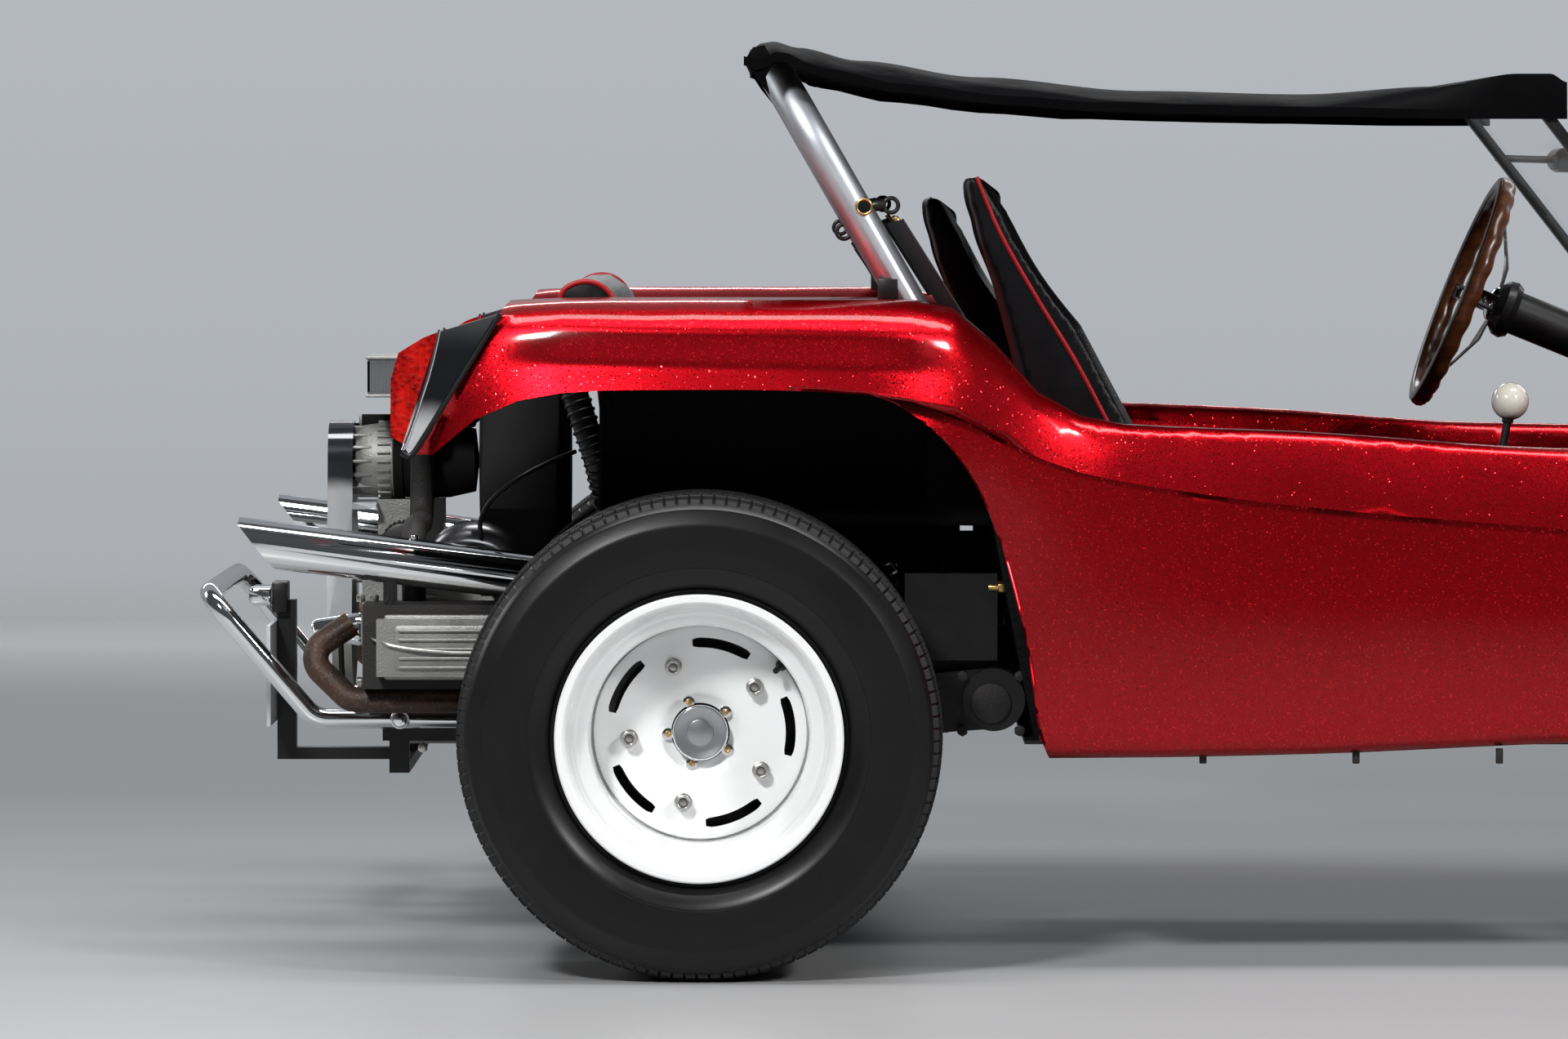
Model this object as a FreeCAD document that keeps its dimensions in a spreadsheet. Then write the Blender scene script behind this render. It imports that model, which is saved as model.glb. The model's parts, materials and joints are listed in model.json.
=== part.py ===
import FreeCAD, Part
import math
import os
import re

import Sketcher
from FreeCAD import Placement, Rotation, Vector

# Dune buggy on a shortened floor pan, millimetres, +X forward, +Y left, +Z up.
# Every sub-part is drawn with x counted from the rear axle and z from the ground;
# one shared placement then moves the origin to the middle of the vehicle's length.

SIZES = {
    # stance
    "wheelbase": 2032,
    "rear_reach": 752,
    "front_reach": 700,
    "rear_wheel_y": 685,
    "front_wheel_y": 700,
    # tyres and rims
    "rear_tyre_radius": 348,
    "rear_tyre_width": 290,
    "front_tyre_radius": 318,
    "front_tyre_width": 196,
    "rim_radius": 190,
    "rear_rim_width": 262,
    "front_rim_width": 166,
    "rim_wall": 6,
    "rim_flange": 16,
    "rim_disc_depth": 146,
    "front_disc_depth": 72,
    "disc_seat": 6.2,
    "slot_circle": 130,
    "slot_length": 84,
    "slot_width": 15,
    "hub_bore": 42,
    "slot_phase": 13.8,
    "cap_radius": 38,
    "cap_depth": 22,
    # drums and axles
    "drum_radius": 128,
    "drum_depth": 62,
    "axle_tube_radius": 32,
    "running_gap": 6,
    # front suspension
    "beam_ahead": 132,
    "beam_tube_radius": 24,
    "beam_tube_spacing": 120,
    "beam_half_width": 425,
    "arm_thickness": 26,
    "king_pin_y": 600,
    "king_pin_radius": 11,
    "steering_arm": 110,
    "rod_radius": 9,
    "pitman_y": 150,
    # rear suspension
    "torsion_ahead": 427,
    "torsion_height": 381,
    "torsion_tube_radius": 34,
    "torsion_half_width": 408,
    "plate_thickness": 8,
    # floor pan
    "pan_height": 322,
    "pan_sheet": 5,
    "pan_half_width": 560,
    "pan_rear": 470,
    "pan_front": 1480,
    "tunnel_width": 150,
    "tunnel_height": 140,
    # body shell
    "shell_wall": 6,
    "deck_height": 967,
    "rail_height": 775,
    "fender_lip_height": 842,
    "fender_half_width": 760,
    "cockpit_half_width": 632,
    "firewall_x": -150,
    "shelf_height": 650,
    "cowl_x": 1470,
    "cowl_height": 896,
    "panel_bottom": 305,
    "panel_gap": 2,
    # cockpit
    "screen_rake": 38,
    "screen_height": 487,
    "screen_half_width": 600,
    "glass_thickness": 6,
    "seat_y": 285,
    "seat_width": 400,
    "wheel_y": 300,
    "wheel_rim_radius": 190,
    "wheel_rim_tube": 13,
    "column_tilt": 22,
    # roll bar and top
    "hoop_tube_radius": 25.4,
    "hoop_half_width": 560,
    "hoop_height": 1335,
    "hoop_lean": 29.8,
    "hoop_bend": 150,
    "canvas_thickness": 5,
    "canvas_overhang": 45,
    # engine
    "crank_height": 456,
    "belt_centres": 259,
    "cylinder_radius": 62,
    "head_y": 440,
    "shroud_half_width": 350,
    "alternator_radius": 58,
    "pipe_radius": 35,
    "header_radius": 19,
    # bumpers
    "bumper_tube_radius": 15,
}

doc = FreeCAD.newDocument("DuneBuggy")
sheet = doc.addObject("Spreadsheet::Sheet", "Sizes")
for row, (alias, number) in enumerate(SIZES.items(), start=1):
    sheet.set(f"A{row}", alias)
    sheet.set(f"B{row}", str(number))
    sheet.setAlias(f"B{row}", alias)
doc.recompute()

SHARED_X = "(rear_reach - front_reach - wheelbase) / 2"
LEFT = 1
RIGHT = -1
SIDES = {"left": LEFT, "right": RIGHT}
parts = {}


def size(alias):
    """The number that the sheet holds under this alias."""
    return float(getattr(sheet, alias))


def formula(text):
    """A sheet expression, with each alias written as a reference to the sheet."""
    return re.sub(r"[a-z_]+\w*", lambda word: "Sizes." + word[0] if word[0] in SIZES else word[0], str(text))


def number(text):
    """The value of an expression on the sheet's aliases."""
    return float(sheet.evalExpression(formula(text)))


def place(item, x="0", y="0", z="0"):
    """Puts a finished sub-part on the vehicle: x from the rear axle, z from the ground."""
    item.setExpression("Placement.Base.x", formula(f"{SHARED_X} + {x}"))
    item.setExpression("Placement.Base.y", formula(y))
    item.setExpression("Placement.Base.z", formula(z))


def keep(item, label):
    """Names a sub-part, which also names its file."""
    item.Label = label
    parts[label] = item
    return item


def new_body(label):
    """A PartDesign body that becomes the sub-part of this name."""
    return keep(doc.addObject("PartDesign::Body", "Body_" + label), label)


def draw(body, name, plane, corners, offset="0"):
    """A closed sketch on one of the body's own planes, each corner bound to the sheet.

    The corners are pairs of expressions: across and up on that plane.
    """
    sketch = body.newObject("Sketcher::SketchObject", body.Label + "_" + name)
    plane_object = [item for item in body.Origin.OriginFeatures if item.Role == plane][0]
    sketch.AttachmentSupport = [(plane_object, "")]
    sketch.MapMode = "FlatFace"
    sketch.setExpression("AttachmentOffset.Base.z", formula(offset))
    points = [Vector(number(across), number(up), 0) for across, up in corners]
    count = len(points)
    for index in range(count):
        sketch.addGeometry(Part.LineSegment(points[index], points[(index + 1) % count]), False)
    for index in range(count):
        sketch.addConstraint(Sketcher.Constraint("Coincident", index, 2, (index + 1) % count, 1))
    for index, (across, up) in enumerate(corners):
        for kind, text, value in (
            ("DistanceX", across, points[index].x),
            ("DistanceY", up, points[index].y),
        ):
            place_of = sketch.addConstraint(Sketcher.Constraint(kind, index, 1, value))
            title = f"{kind[-1].lower()}{index}"
            sketch.renameConstraint(place_of, title)
            sketch.setExpression("Constraints." + title, formula(text))
    return sketch


def pocket(body, sketch, length, both_ways=False, reverse=False):
    """Cuts a sketch through the body by a bound length."""
    feature = body.newObject("PartDesign::Pocket", sketch.Label + "_pocket")
    feature.Profile = sketch
    feature.Length = number(length)
    feature.setExpression("Length", formula(length))
    feature.Midplane = both_ways
    feature.Reversed = reverse
    return feature


def revolve(body, sketch, axis):
    """Turns a sketch once round one of the body's own axes."""
    feature = body.newObject("PartDesign::Revolution", sketch.Label + "_turned")
    feature.Profile = sketch
    axis_object = [item for item in body.Origin.OriginFeatures if item.Role == axis][0]
    feature.ReferenceAxis = (axis_object, [""])
    feature.Angle = 360
    return feature


def polar(body, feature, axis, count):
    """Repeats a feature round one of the body's own axes."""
    pattern = body.newObject("PartDesign::PolarPattern", feature.Label + "_ring")
    pattern.Originals = [feature]
    axis_object = [item for item in body.Origin.OriginFeatures if item.Role == axis][0]
    pattern.Axis = (axis_object, [""])
    pattern.Angle = 360
    pattern.Occurrences = count
    body.Tip = pattern
    return pattern


def solid_part(label, shape):
    """A sub-part whose shape Part's own functions make."""
    item = doc.addObject("Part::Feature", "Part_" + label)
    item.Shape = shape
    place(item)
    return keep(item, label)


def fused(shapes):
    """One shape of several that overlap or meet."""
    whole = shapes[0].multiFuse(shapes[1:]) if len(shapes) > 1 else shapes[0]
    return whole.removeSplitter()


def mirrored(shape):
    """The same shape on the other side of the vehicle."""
    return shape.mirror(Vector(0, 0, 0), Vector(0, 1, 0))


def block(low, high):
    """A box between two corners."""
    span = [b - a for a, b in zip(low, high)]
    return Part.makeBox(*span, Vector(*low))


def rod(start, end, radius):
    """A round bar between two points."""
    line = Vector(*end) - Vector(*start)
    return Part.makeCylinder(radius, line.Length, Vector(*start), line)


def tube_route(points, bend):
    """Straight runs joined by tangent arcs of one radius, as a wire."""
    corners = [Vector(*point) for point in points]
    edges = []
    start = corners[0]
    for before, corner, after in zip(corners, corners[1:], corners[2:]):
        coming = (corner - before).normalize()
        going = (after - corner).normalize()
        half_turn = coming.getAngle(going) / 2
        setback = bend * math.tan(half_turn)
        first = corner - coming * setback
        last = corner + going * setback
        inward = (going - coming).normalize()
        middle = corner + inward * (bend / math.cos(half_turn) - bend)
        if (first - start).Length > 0.01:
            edges.append(Part.LineSegment(start, first).toShape())
        edges.append(Part.Arc(first, middle, last).toShape())
        start = last
    edges.append(Part.LineSegment(start, corners[-1]).toShape())
    return Part.Wire(edges)


def bent_tube(points, radius, bend):
    """A round bar bent along a route."""
    route = tube_route(points, bend)
    start = route.Edges[0].Vertexes[0].Point
    heading = Vector(*points[1]) - Vector(*points[0])
    ring = Part.Wire(Part.makeCircle(radius, start, heading))
    tube = route.makePipeShell([ring], True, False)
    return tube if tube.Volume > 0 else tube.reversed()


def band_section(x, outline, wall):
    """A thin closed section at one station: a smooth outline and its copy one wall inside."""
    outer = Part.BSplineCurve()
    outer.interpolate([Vector(x, y, z) for y, z in outline])
    samples = 18
    low, high = outer.FirstParameter, outer.LastParameter
    shifted = []
    for index in range(samples + 1):
        parameter = low + (high - low) * index / samples
        point = outer.value(parameter)
        heading = outer.tangent(parameter)[0]
        shifted.append(point + Vector(0, heading.z, -heading.y) * wall)
    inner = Part.BSplineCurve()
    inner.interpolate(shifted)
    first = Part.LineSegment(outer.value(low), shifted[0]).toShape()
    last = Part.LineSegment(shifted[-1], outer.value(high)).toShape()
    return Part.Wire([outer.toShape(), last, inner.toShape(), first])


def lofted(wires, ruled=False):
    """A solid through a row of sections."""
    shape = Part.makeLoft(wires, True, ruled)
    if shape.Volume < 0:
        shape.reverse()
    return shape


# Wheels: each tyre, rim and drum is turned about its own Y axis, outer face to +Y.


def make_tyre(label, x, y, side, radius, width, rim_width):
    """A tyre with rounded shoulders, its beads between the rim's flanges."""
    body = new_body(label)
    half = f"{width} / 2"
    bead = "rim_radius + 0.3"
    seat = f"{rim_width} / 2 - rim_wall - 4.5"
    sketch = draw(
        body,
        "profile",
        "XY_Plane",
        [
            (bead, f"-({seat})"),
            ("rim_radius + rim_flange + 6", f"-({seat})"),
            ("rim_radius + rim_flange + 14", f"-{half} + 5"),
            (f"({radius} + rim_radius) / 2", f"-{half}"),
            (f"{radius} - 38", f"-{half} + 8"),
            (f"{radius} - 12", f"-{half} + 28"),
            (radius, f"-{half} + 58"),
            (radius, f"{half} - 58"),
            (f"{radius} - 12", f"{half} - 28"),
            (f"{radius} - 38", f"{half} - 8"),
            (f"({radius} + rim_radius) / 2", half),
            ("rim_radius + rim_flange + 14", f"{half} - 5"),
            ("rim_radius + rim_flange + 6", seat),
            (bead, seat),
        ],
    )
    revolve(body, sketch, "Y_Axis")
    place(body, x, f"{side} * ({y})", radius)
    return body


def make_rim(label, x, y, side, radius, width, depth):
    """A deep rim: barrel, rolled flanges and a slotted disc, its face to the outside."""
    body = new_body(label)
    half = f"{width} / 2"
    sketch = draw(
        body,
        "barrel",
        "XY_Plane",
        [
            ("rim_radius - rim_wall - 8", f"-{half} + 20"),
            ("rim_radius - rim_wall", f"-{half}"),
            ("rim_radius + rim_flange", f"-{half}"),
            ("rim_radius + rim_flange", f"-{half} + rim_wall"),
            ("rim_radius", f"-{half} + rim_wall + 4"),
            ("rim_radius - 4", f"-{half} + 40"),
            ("rim_radius - 22", f"-{half} + 48"),
            ("rim_radius - 22", f"{half} - 60"),
            ("rim_radius - 4", f"{half} - 40"),
            ("rim_radius", f"{half} - rim_wall - 4"),
            ("rim_radius + rim_flange", f"{half} - rim_wall"),
            ("rim_radius + rim_flange", half),
            ("rim_radius - rim_wall", half),
            ("rim_radius - rim_wall - 8", f"{half} - 44"),
            ("rim_radius - rim_wall - 22", f"{half} - 62"),
            ("rim_radius - rim_wall - 22", f"-{half} + 46"),
        ],
    )
    revolve(body, sketch, "Y_Axis")
    disc = draw(
        body,
        "disc",
        "XY_Plane",
        [
            ("hub_bore", f"{half} - {depth}"),
            ("hub_bore + 16", f"{half} - {depth}"),
            ("hub_bore + 26", f"{half} - {depth} + 9"),
            ("slot_circle - slot_width", f"{half} - {depth} + 16"),
            ("rim_radius - rim_wall - 30", f"{half} - {depth} + 16"),
            ("rim_radius - rim_wall - 20", f"{half} - {depth} + 4"),
            ("rim_radius - rim_wall - 20", f"{half} - {depth} - 4"),
            ("rim_radius - rim_wall - 33", f"{half} - {depth} + 10"),
            ("slot_circle - slot_width + 2", f"{half} - {depth} + 10"),
            ("hub_bore + 29", f"{half} - {depth} + 3"),
            ("hub_bore + 18", f"{half} - {depth} - 6"),
            ("hub_bore", f"{half} - {depth} - 6"),
        ],
    )
    revolve(body, disc, "Y_Axis")
    slot = draw(
        body,
        "slot",
        "XZ_Plane",
        [
            ("-slot_length / 2", "slot_circle - slot_width / 2 - 6"),
            ("0", "slot_circle - slot_width / 2"),
            ("slot_length / 2", "slot_circle - slot_width / 2 - 6"),
            ("slot_length / 2", "slot_circle + slot_width / 2 - 6"),
            ("0", "slot_circle + slot_width / 2"),
            ("-slot_length / 2", "slot_circle + slot_width / 2 - 6"),
        ],
    )
    cut = pocket(body, slot, "rear_rim_width", both_ways=True)
    polar(body, cut, "Y_Axis", 5)
    facing = Rotation(Vector(0, 0, 1), 0 if side == LEFT else 180)
    body.Placement = Placement(
        Vector(0, 0, 0), Rotation(Vector(0, 1, 0), size("slot_phase")).multiply(facing),
    )
    place(body, x, f"{side} * ({y})", radius)
    return body


def make_drum(label, x, face_y, side, radius):
    """A brake drum with its hub, whose face carries the rim's disc."""
    body = new_body(label)
    sketch = draw(
        body,
        "profile",
        "XY_Plane",
        [
            ("0", "cap_depth"),
            ("cap_radius / 2", "cap_depth"),
            ("cap_radius / 2 + 3", "cap_depth - 5"),
            ("cap_radius - 6", "cap_depth - 7"),
            ("cap_radius", "cap_depth - 11"),
            ("cap_radius", "0"),
            ("hub_bore + 14", "0"),
            ("hub_bore + 22", "-7"),
            ("drum_radius - 10", "-7"),
            ("drum_radius", "-14"),
            ("drum_radius", "-drum_depth"),
            ("drum_radius - 12", "-drum_depth"),
            ("drum_radius - 12", "-20"),
            ("48", "-20"),
            ("40", "-34"),
            ("0", "-34"),
        ],
    )
    revolve(body, sketch, "Y_Axis")
    body.Placement = Placement(Vector(0, 0, 0), Rotation(Vector(0, 0, 1), 0 if side == LEFT else 180))
    place(body, x, f"{side} * ({face_y})", radius)
    return body


REAR_FACE = "rear_wheel_y + rear_rim_width / 2 - rim_disc_depth - disc_seat"
FRONT_FACE = "front_wheel_y + front_rim_width / 2 - front_disc_depth - disc_seat"
for side_name, side in SIDES.items():
    make_tyre(
        "tyre_rear_" + side_name,
        "0",
        "rear_wheel_y",
        side,
        "rear_tyre_radius",
        "rear_tyre_width",
        "rear_rim_width",
    )
    make_tyre(
        "tyre_front_" + side_name,
        "wheelbase",
        "front_wheel_y",
        side,
        "front_tyre_radius",
        "front_tyre_width",
        "front_rim_width",
    )
    make_rim(
        "rim_rear_" + side_name,
        "0",
        "rear_wheel_y",
        side,
        "rear_tyre_radius",
        "rear_rim_width",
        "rim_disc_depth",
    )
    make_rim(
        "rim_front_" + side_name,
        "wheelbase",
        "front_wheel_y",
        side,
        "front_tyre_radius",
        "front_rim_width",
        "front_disc_depth",
    )
    make_drum("drum_rear_" + side_name, "0", REAR_FACE, side, "rear_tyre_radius")
    make_drum("drum_front_" + side_name, "wheelbase", FRONT_FACE, side, "front_tyre_radius")


# Numbers read once from the sheet, for the sub-parts that Part's own functions make.
wheelbase = size("wheelbase")
rear_axle_z = size("rear_tyre_radius")
front_axle_z = size("front_tyre_radius")
wall = size("shell_wall")
beam_x = wheelbase + size("beam_ahead")
shelf_under = size("shelf_height") - size("shell_wall")
beam_half = size("beam_half_width")
beam_tube = size("beam_tube_radius")
beam_rise = size("beam_tube_spacing") / 2
pin_y = size("king_pin_y")
pin_radius = size("king_pin_radius")
arm_length = size("steering_arm")
rod_radius = size("rod_radius")
pitman_y = size("pitman_y")
gap = 0.3


def make_front_beam():
    """Two cross tubes joined by end plates and shock towers."""
    shapes = []
    for rise in (-beam_rise, beam_rise):
        height = front_axle_z + rise
        shapes.append(rod((beam_x, -beam_half, height), (beam_x, beam_half, height), beam_tube))
    for side in (LEFT, RIGHT):
        inner = side * (beam_half - 44)
        outer = side * (beam_half - 24)
        low_y, high_y = min(inner, outer), max(inner, outer)
        shapes.append(
            block(
                (beam_x - 30, low_y, front_axle_z - beam_rise - 30),
                (beam_x + 30, high_y, front_axle_z + 250),
            ),
        )
        inner = side * 86
        outer = side * 98
        low_y, high_y = min(inner, outer), max(inner, outer)
        shapes.append(
            block(
                (beam_x - 34, low_y, front_axle_z - beam_rise - 20),
                (beam_x + 20, high_y, front_axle_z + beam_rise + 20),
            ),
        )
    return solid_part("front_beam", fused(shapes))


def make_trailing_arms():
    """Four forged arms from the cross tubes back to the king-pin carriers."""
    arms = []
    thick = size("arm_thickness")
    for side in (LEFT, RIGHT):
        for rise in (-beam_rise, beam_rise):
            height = front_axle_z + rise
            inner = side * (beam_half + gap)
            outer = side * (beam_half + gap + thick)
            low_y, high_y = min(inner, outer), max(inner, outer)
            hub = Part.makeCylinder(beam_tube + 6, thick, Vector(beam_x, low_y, height), Vector(0, 1, 0))
            eye = Part.makeCylinder(19, thick, Vector(wheelbase, low_y, height), Vector(0, 1, 0))
            bar = block((wheelbase, low_y, height - 15), (beam_x, high_y, height + 15))
            arms.append(fused([hub, eye, bar]))
    return arms


def make_carriers():
    """Each carrier holds a fixed king pin between two lugs."""
    pieces = []
    start = beam_half + 2 * gap + size("arm_thickness")
    for side in (LEFT, RIGHT):
        low_y, high_y = sorted((side * start, side * (start + 28)))
        post = block(
            (wheelbase - 20, low_y, front_axle_z - beam_rise - 20),
            (wheelbase + 20, high_y, front_axle_z + beam_rise + 20),
        )
        lugs = []
        for height in (front_axle_z - beam_rise - 4, front_axle_z + beam_rise - 14):
            low_y, high_y = sorted((side * (start + 20), side * pin_y))
            lugs.append(block((wheelbase - 18, low_y, height), (wheelbase + 18, high_y, height + 18)))
            lugs.append(Part.makeCylinder(18, 18, Vector(wheelbase, side * pin_y, height)))
        pin = rod(
            (wheelbase, side * pin_y, front_axle_z - beam_rise - 10),
            (wheelbase, side * pin_y, front_axle_z + beam_rise + 12),
            pin_radius,
        )
        pieces.append(fused([post, pin] + lugs))
    return pieces


def make_knuckle(side_name, side):
    """A stub axle that turns on its king pin, with the arm for its tie rod."""
    low = front_axle_z - beam_rise + 14 + gap
    high = front_axle_z + beam_rise - 14 - gap
    barrel = Part.makeCylinder(24, high - low, Vector(wheelbase, side * pin_y, low))
    face = size("front_wheel_y") + size("front_rim_width") / 2 - size("front_disc_depth") - size("disc_seat")
    stub = rod(
        (wheelbase, side * pin_y, front_axle_z), (wheelbase, side * (face - 34 - gap), front_axle_z), 17,
    )
    plate_y = face - size("drum_depth") - size("running_gap")
    low_y = min(side * plate_y, side * (plate_y - 4))
    plate = Part.makeCylinder(
        size("drum_radius"), 4, Vector(wheelbase, low_y, front_axle_z), Vector(0, 1, 0),
    )
    arm = rod(
        (wheelbase - 8, side * pin_y, high - 12), (wheelbase - arm_length, side * pin_y, high - 12), 10,
    )
    eye = Part.makeCylinder(15, 20, Vector(wheelbase - arm_length, side * pin_y, high - 22))
    bore = Part.makeCylinder(pin_radius + 0.05, high - low + 4, Vector(wheelbase, side * pin_y, low - 2))
    shape = fused([barrel, stub, plate, arm, eye]).cut(bore)
    return solid_part("knuckle_" + side_name, shape)


def make_tie_rod(side_name, side):
    """A rod between a steering arm and the pitman arm, an eye at each end."""
    x = wheelbase - arm_length
    high = front_axle_z + beam_rise - 14 - gap
    z = high + 8
    outer = (x, side * pin_y, z)
    inner_y = pitman_y + (24 if side == LEFT else -24)
    bar = rod(outer, (x, inner_y, z), rod_radius)
    eye = Part.makeCylinder(14, 20, Vector(x, side * pin_y, z - 10 + gap + 0.2))
    return solid_part("tie_rod_" + side_name, fused([bar, eye]))


def make_pitman():
    """The drop arm of the steering box."""
    high = front_axle_z + beam_rise - 14 - gap
    z = high + 8
    x = wheelbase - arm_length
    arm = block((x, pitman_y - 12, z + 14), (wheelbase, pitman_y + 12, z + 26))
    end = Part.makeCylinder(16, 12, Vector(x, pitman_y, z + 14))
    hub = Part.makeCylinder(19, 22, Vector(wheelbase, pitman_y, z + 14))
    return solid_part("pitman_arm", fused([arm, end, hub]))


def make_shock_absorbers():
    """Front shocks from the beam's towers to the lower arms, rear ones to the axle tubes."""
    pieces = []
    arm_y = beam_half + gap + size("arm_thickness")
    for side in (LEFT, RIGHT):
        y = side * (arm_y + 24)
        body = rod((wheelbase + 84, y, 300), (beam_x, y, front_axle_z + 236), 19)
        foot = rod((wheelbase + 78, side * (arm_y + gap), 262), (wheelbase + 78, y + side * 14, 262), 11)
        link = rod((wheelbase + 80, y, 262), (wheelbase + 85, y, 310), 8)
        top = rod(
            (beam_x, side * (beam_half - 24 + gap), front_axle_z + 236), (beam_x, y, front_axle_z + 236), 9,
        )
        pieces.append(fused([body, foot, link, top]))
        y = side * 510
        axle = size("axle_tube_radius")
        ring = Part.makeCylinder(axle + 8, 26, Vector(0, y - 13, rear_axle_z), Vector(0, 1, 0))
        hole = Part.makeCylinder(axle + gap, 30, Vector(0, y - 15, rear_axle_z), Vector(0, 1, 0))
        lug = rod((-48, y, rear_axle_z - 10), (-30, y, rear_axle_z - 8), 9)
        damper = rod((-56, y, rear_axle_z - 20), (-80, y - side * 50, shelf_under - 40), 21)
        bolt = rod((-56, y, rear_axle_z - 6), (-36, y, rear_axle_z - 6), 9)
        pieces.append(fused([ring, bolt, damper, lug]).cut(hole))
    return solid_part("shock_absorbers", Part.makeCompound(pieces))


def make_fuel_tank():
    """Flat tank under the hood, over the front beam."""
    tank = block((1640 + gap, -330, 630), (1985, 90, 740))
    neck = rod((1800, -120, 730), (1800, -120, 765), 28)
    return solid_part("fuel_tank", fused([tank, neck]))


make_front_beam()
make_shock_absorbers()
make_fuel_tank()
solid_part("trailing_arms", Part.makeCompound(make_trailing_arms() + make_carriers()))
for side_name, side in SIDES.items():
    make_knuckle(side_name, side)
    make_tie_rod(side_name, side)
make_pitman()


pan_z = size("pan_height")
pan_sheet = size("pan_sheet")
pan_half = size("pan_half_width")
pan_rear = size("pan_rear")
pan_front = size("pan_front")
tunnel_half = size("tunnel_width") / 2
tunnel_top = pan_z + size("tunnel_height")
torsion_x = size("torsion_ahead")
torsion_z = size("torsion_height")
torsion_radius = size("torsion_tube_radius")
torsion_half = size("torsion_half_width")
crank_z = size("crank_height")
fork_top = rear_axle_z - size("axle_tube_radius") - 10


def prism(points, direction):
    """A straight-sided solid: a closed outline moved along a direction."""
    corners = [Vector(*point) for point in points]
    face = Part.Face(Part.makePolygon(corners + corners[:1]))
    return face.extrude(Vector(*direction))


def make_floor_pan():
    """Sheet floors each side of a tunnel, with the frame head in front and the fork behind."""
    floor = block((pan_rear, -pan_half, pan_z), (pan_front, pan_half, pan_z + pan_sheet))
    outline = [
        (pan_rear - 40, -tunnel_half, pan_z),
        (pan_rear - 40, -tunnel_half, tunnel_top - 30),
        (pan_rear - 40, -tunnel_half + 30, tunnel_top),
        (pan_rear - 40, tunnel_half - 30, tunnel_top),
        (pan_rear - 40, tunnel_half, tunnel_top - 30),
        (pan_rear - 40, tunnel_half, pan_z),
    ]
    tunnel = prism(outline, (pan_front - pan_rear + 40, 0, 0))
    top = front_axle_z + 20
    side_view = [
        (pan_front - 20, -100, pan_z - 20),
        (beam_x - 34 - gap, -100, front_axle_z - beam_rise - 10),
        (beam_x - 34 - gap, -100, top),
        (pan_front + 200, -100, top),
        (pan_front - 20, -100, tunnel_top - 40),
    ]
    frame_head = prism(side_view, (0, 200, 0))
    horns = []
    for side in (LEFT, RIGHT):
        low_y = min(side * 130, side * 180)
        fork = [
            (torsion_x, low_y, torsion_z - 30),
            (torsion_x, low_y, torsion_z + 20),
            (260, low_y, torsion_z),
            (120, low_y, fork_top),
            (-130, low_y, fork_top),
            (-130, low_y, fork_top - 44),
            (100, low_y, fork_top - 44),
        ]
        horns.append(prism(fork, (0, 50, 0)))
        foot_y, web_y = sorted((side * 447, side * 396))
        inner = min(side * 440, side * 447)
        plate = [
            (torsion_x - 130, inner, torsion_z + 56),
            (torsion_x - 130, inner, torsion_z + 184),
            (torsion_x + 6, inner, torsion_z + 184),
            (torsion_x + 6, inner, torsion_z + 56),
        ]
        foot = block((torsion_x - 130, foot_y, torsion_z + 56), (torsion_x + 6, web_y, torsion_z + 62))
        web_low = min(side * 396, side * 403)
        web = [
            (torsion_x - 30, web_low, torsion_z),
            (torsion_x - 120, web_low, torsion_z + 62),
            (torsion_x + 6, web_low, torsion_z + 62),
            (torsion_x + 20, web_low, torsion_z),
        ]
        horns += [prism(plate, (0, 7, 0)), foot, prism(web, (0, 7, 0))]
    cross = rod((torsion_x, -torsion_half, torsion_z), (torsion_x, torsion_half, torsion_z), torsion_radius)
    bridge = block((torsion_x, -tunnel_half, pan_z), (pan_rear, tunnel_half, torsion_z + 30))
    return solid_part("floor_pan", fused([floor, tunnel, frame_head, bridge, cross] + horns))


def make_spring_plates():
    """Two flat plates from the torsion tube's covers back to the axle ends."""
    pieces = []
    thick = size("plate_thickness")
    for side in (LEFT, RIGHT):
        inner = torsion_half + gap
        low_y, high_y = sorted((side * inner, side * (inner + 70)))
        hub = Part.makeCylinder(46, high_y - low_y, Vector(torsion_x, low_y, torsion_z), Vector(0, 1, 0))
        plate_y = sorted((side * (inner + 30), side * (inner + 30 + thick)))
        plate = prism(
            [
                (torsion_x, plate_y[0], torsion_z - 45),
                (torsion_x, plate_y[0], torsion_z + 45),
                (20, plate_y[0], rear_axle_z + 40),
                (-50, plate_y[0], rear_axle_z + 40),
                (-50, plate_y[0], rear_axle_z - 40),
                (20, plate_y[0], rear_axle_z - 40),
            ],
            (0, thick, 0),
        )
        hole = Part.makeCylinder(
            size("axle_tube_radius") + gap, 200, Vector(0, plate_y[0] - 90, rear_axle_z), Vector(0, 1, 0),
        )
        pieces.append(fused([hub, plate]).cut(hole))
    return pieces


def make_rear_axles():
    """Swing-axle tubes from the transaxle out to the brake backing plates."""
    pieces = []
    face = size("rear_wheel_y") + size("rear_rim_width") / 2 - size("rim_disc_depth") - size("disc_seat")
    plate_y = face - size("drum_depth") - size("running_gap")
    for side in (LEFT, RIGHT):
        tube = rod((0, side * 132, rear_axle_z), (0, side * plate_y, rear_axle_z), size("axle_tube_radius"))
        low_y = min(side * (plate_y - 4), side * plate_y)
        plate = Part.makeCylinder(size("drum_radius"), 4, Vector(0, low_y, rear_axle_z), Vector(0, 1, 0))
        shaft = rod((0, side * plate_y, rear_axle_z), (0, side * (face - 34 - gap), rear_axle_z), 17)
        pieces.append(fused([tube, plate, shaft]))
    return pieces


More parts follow.
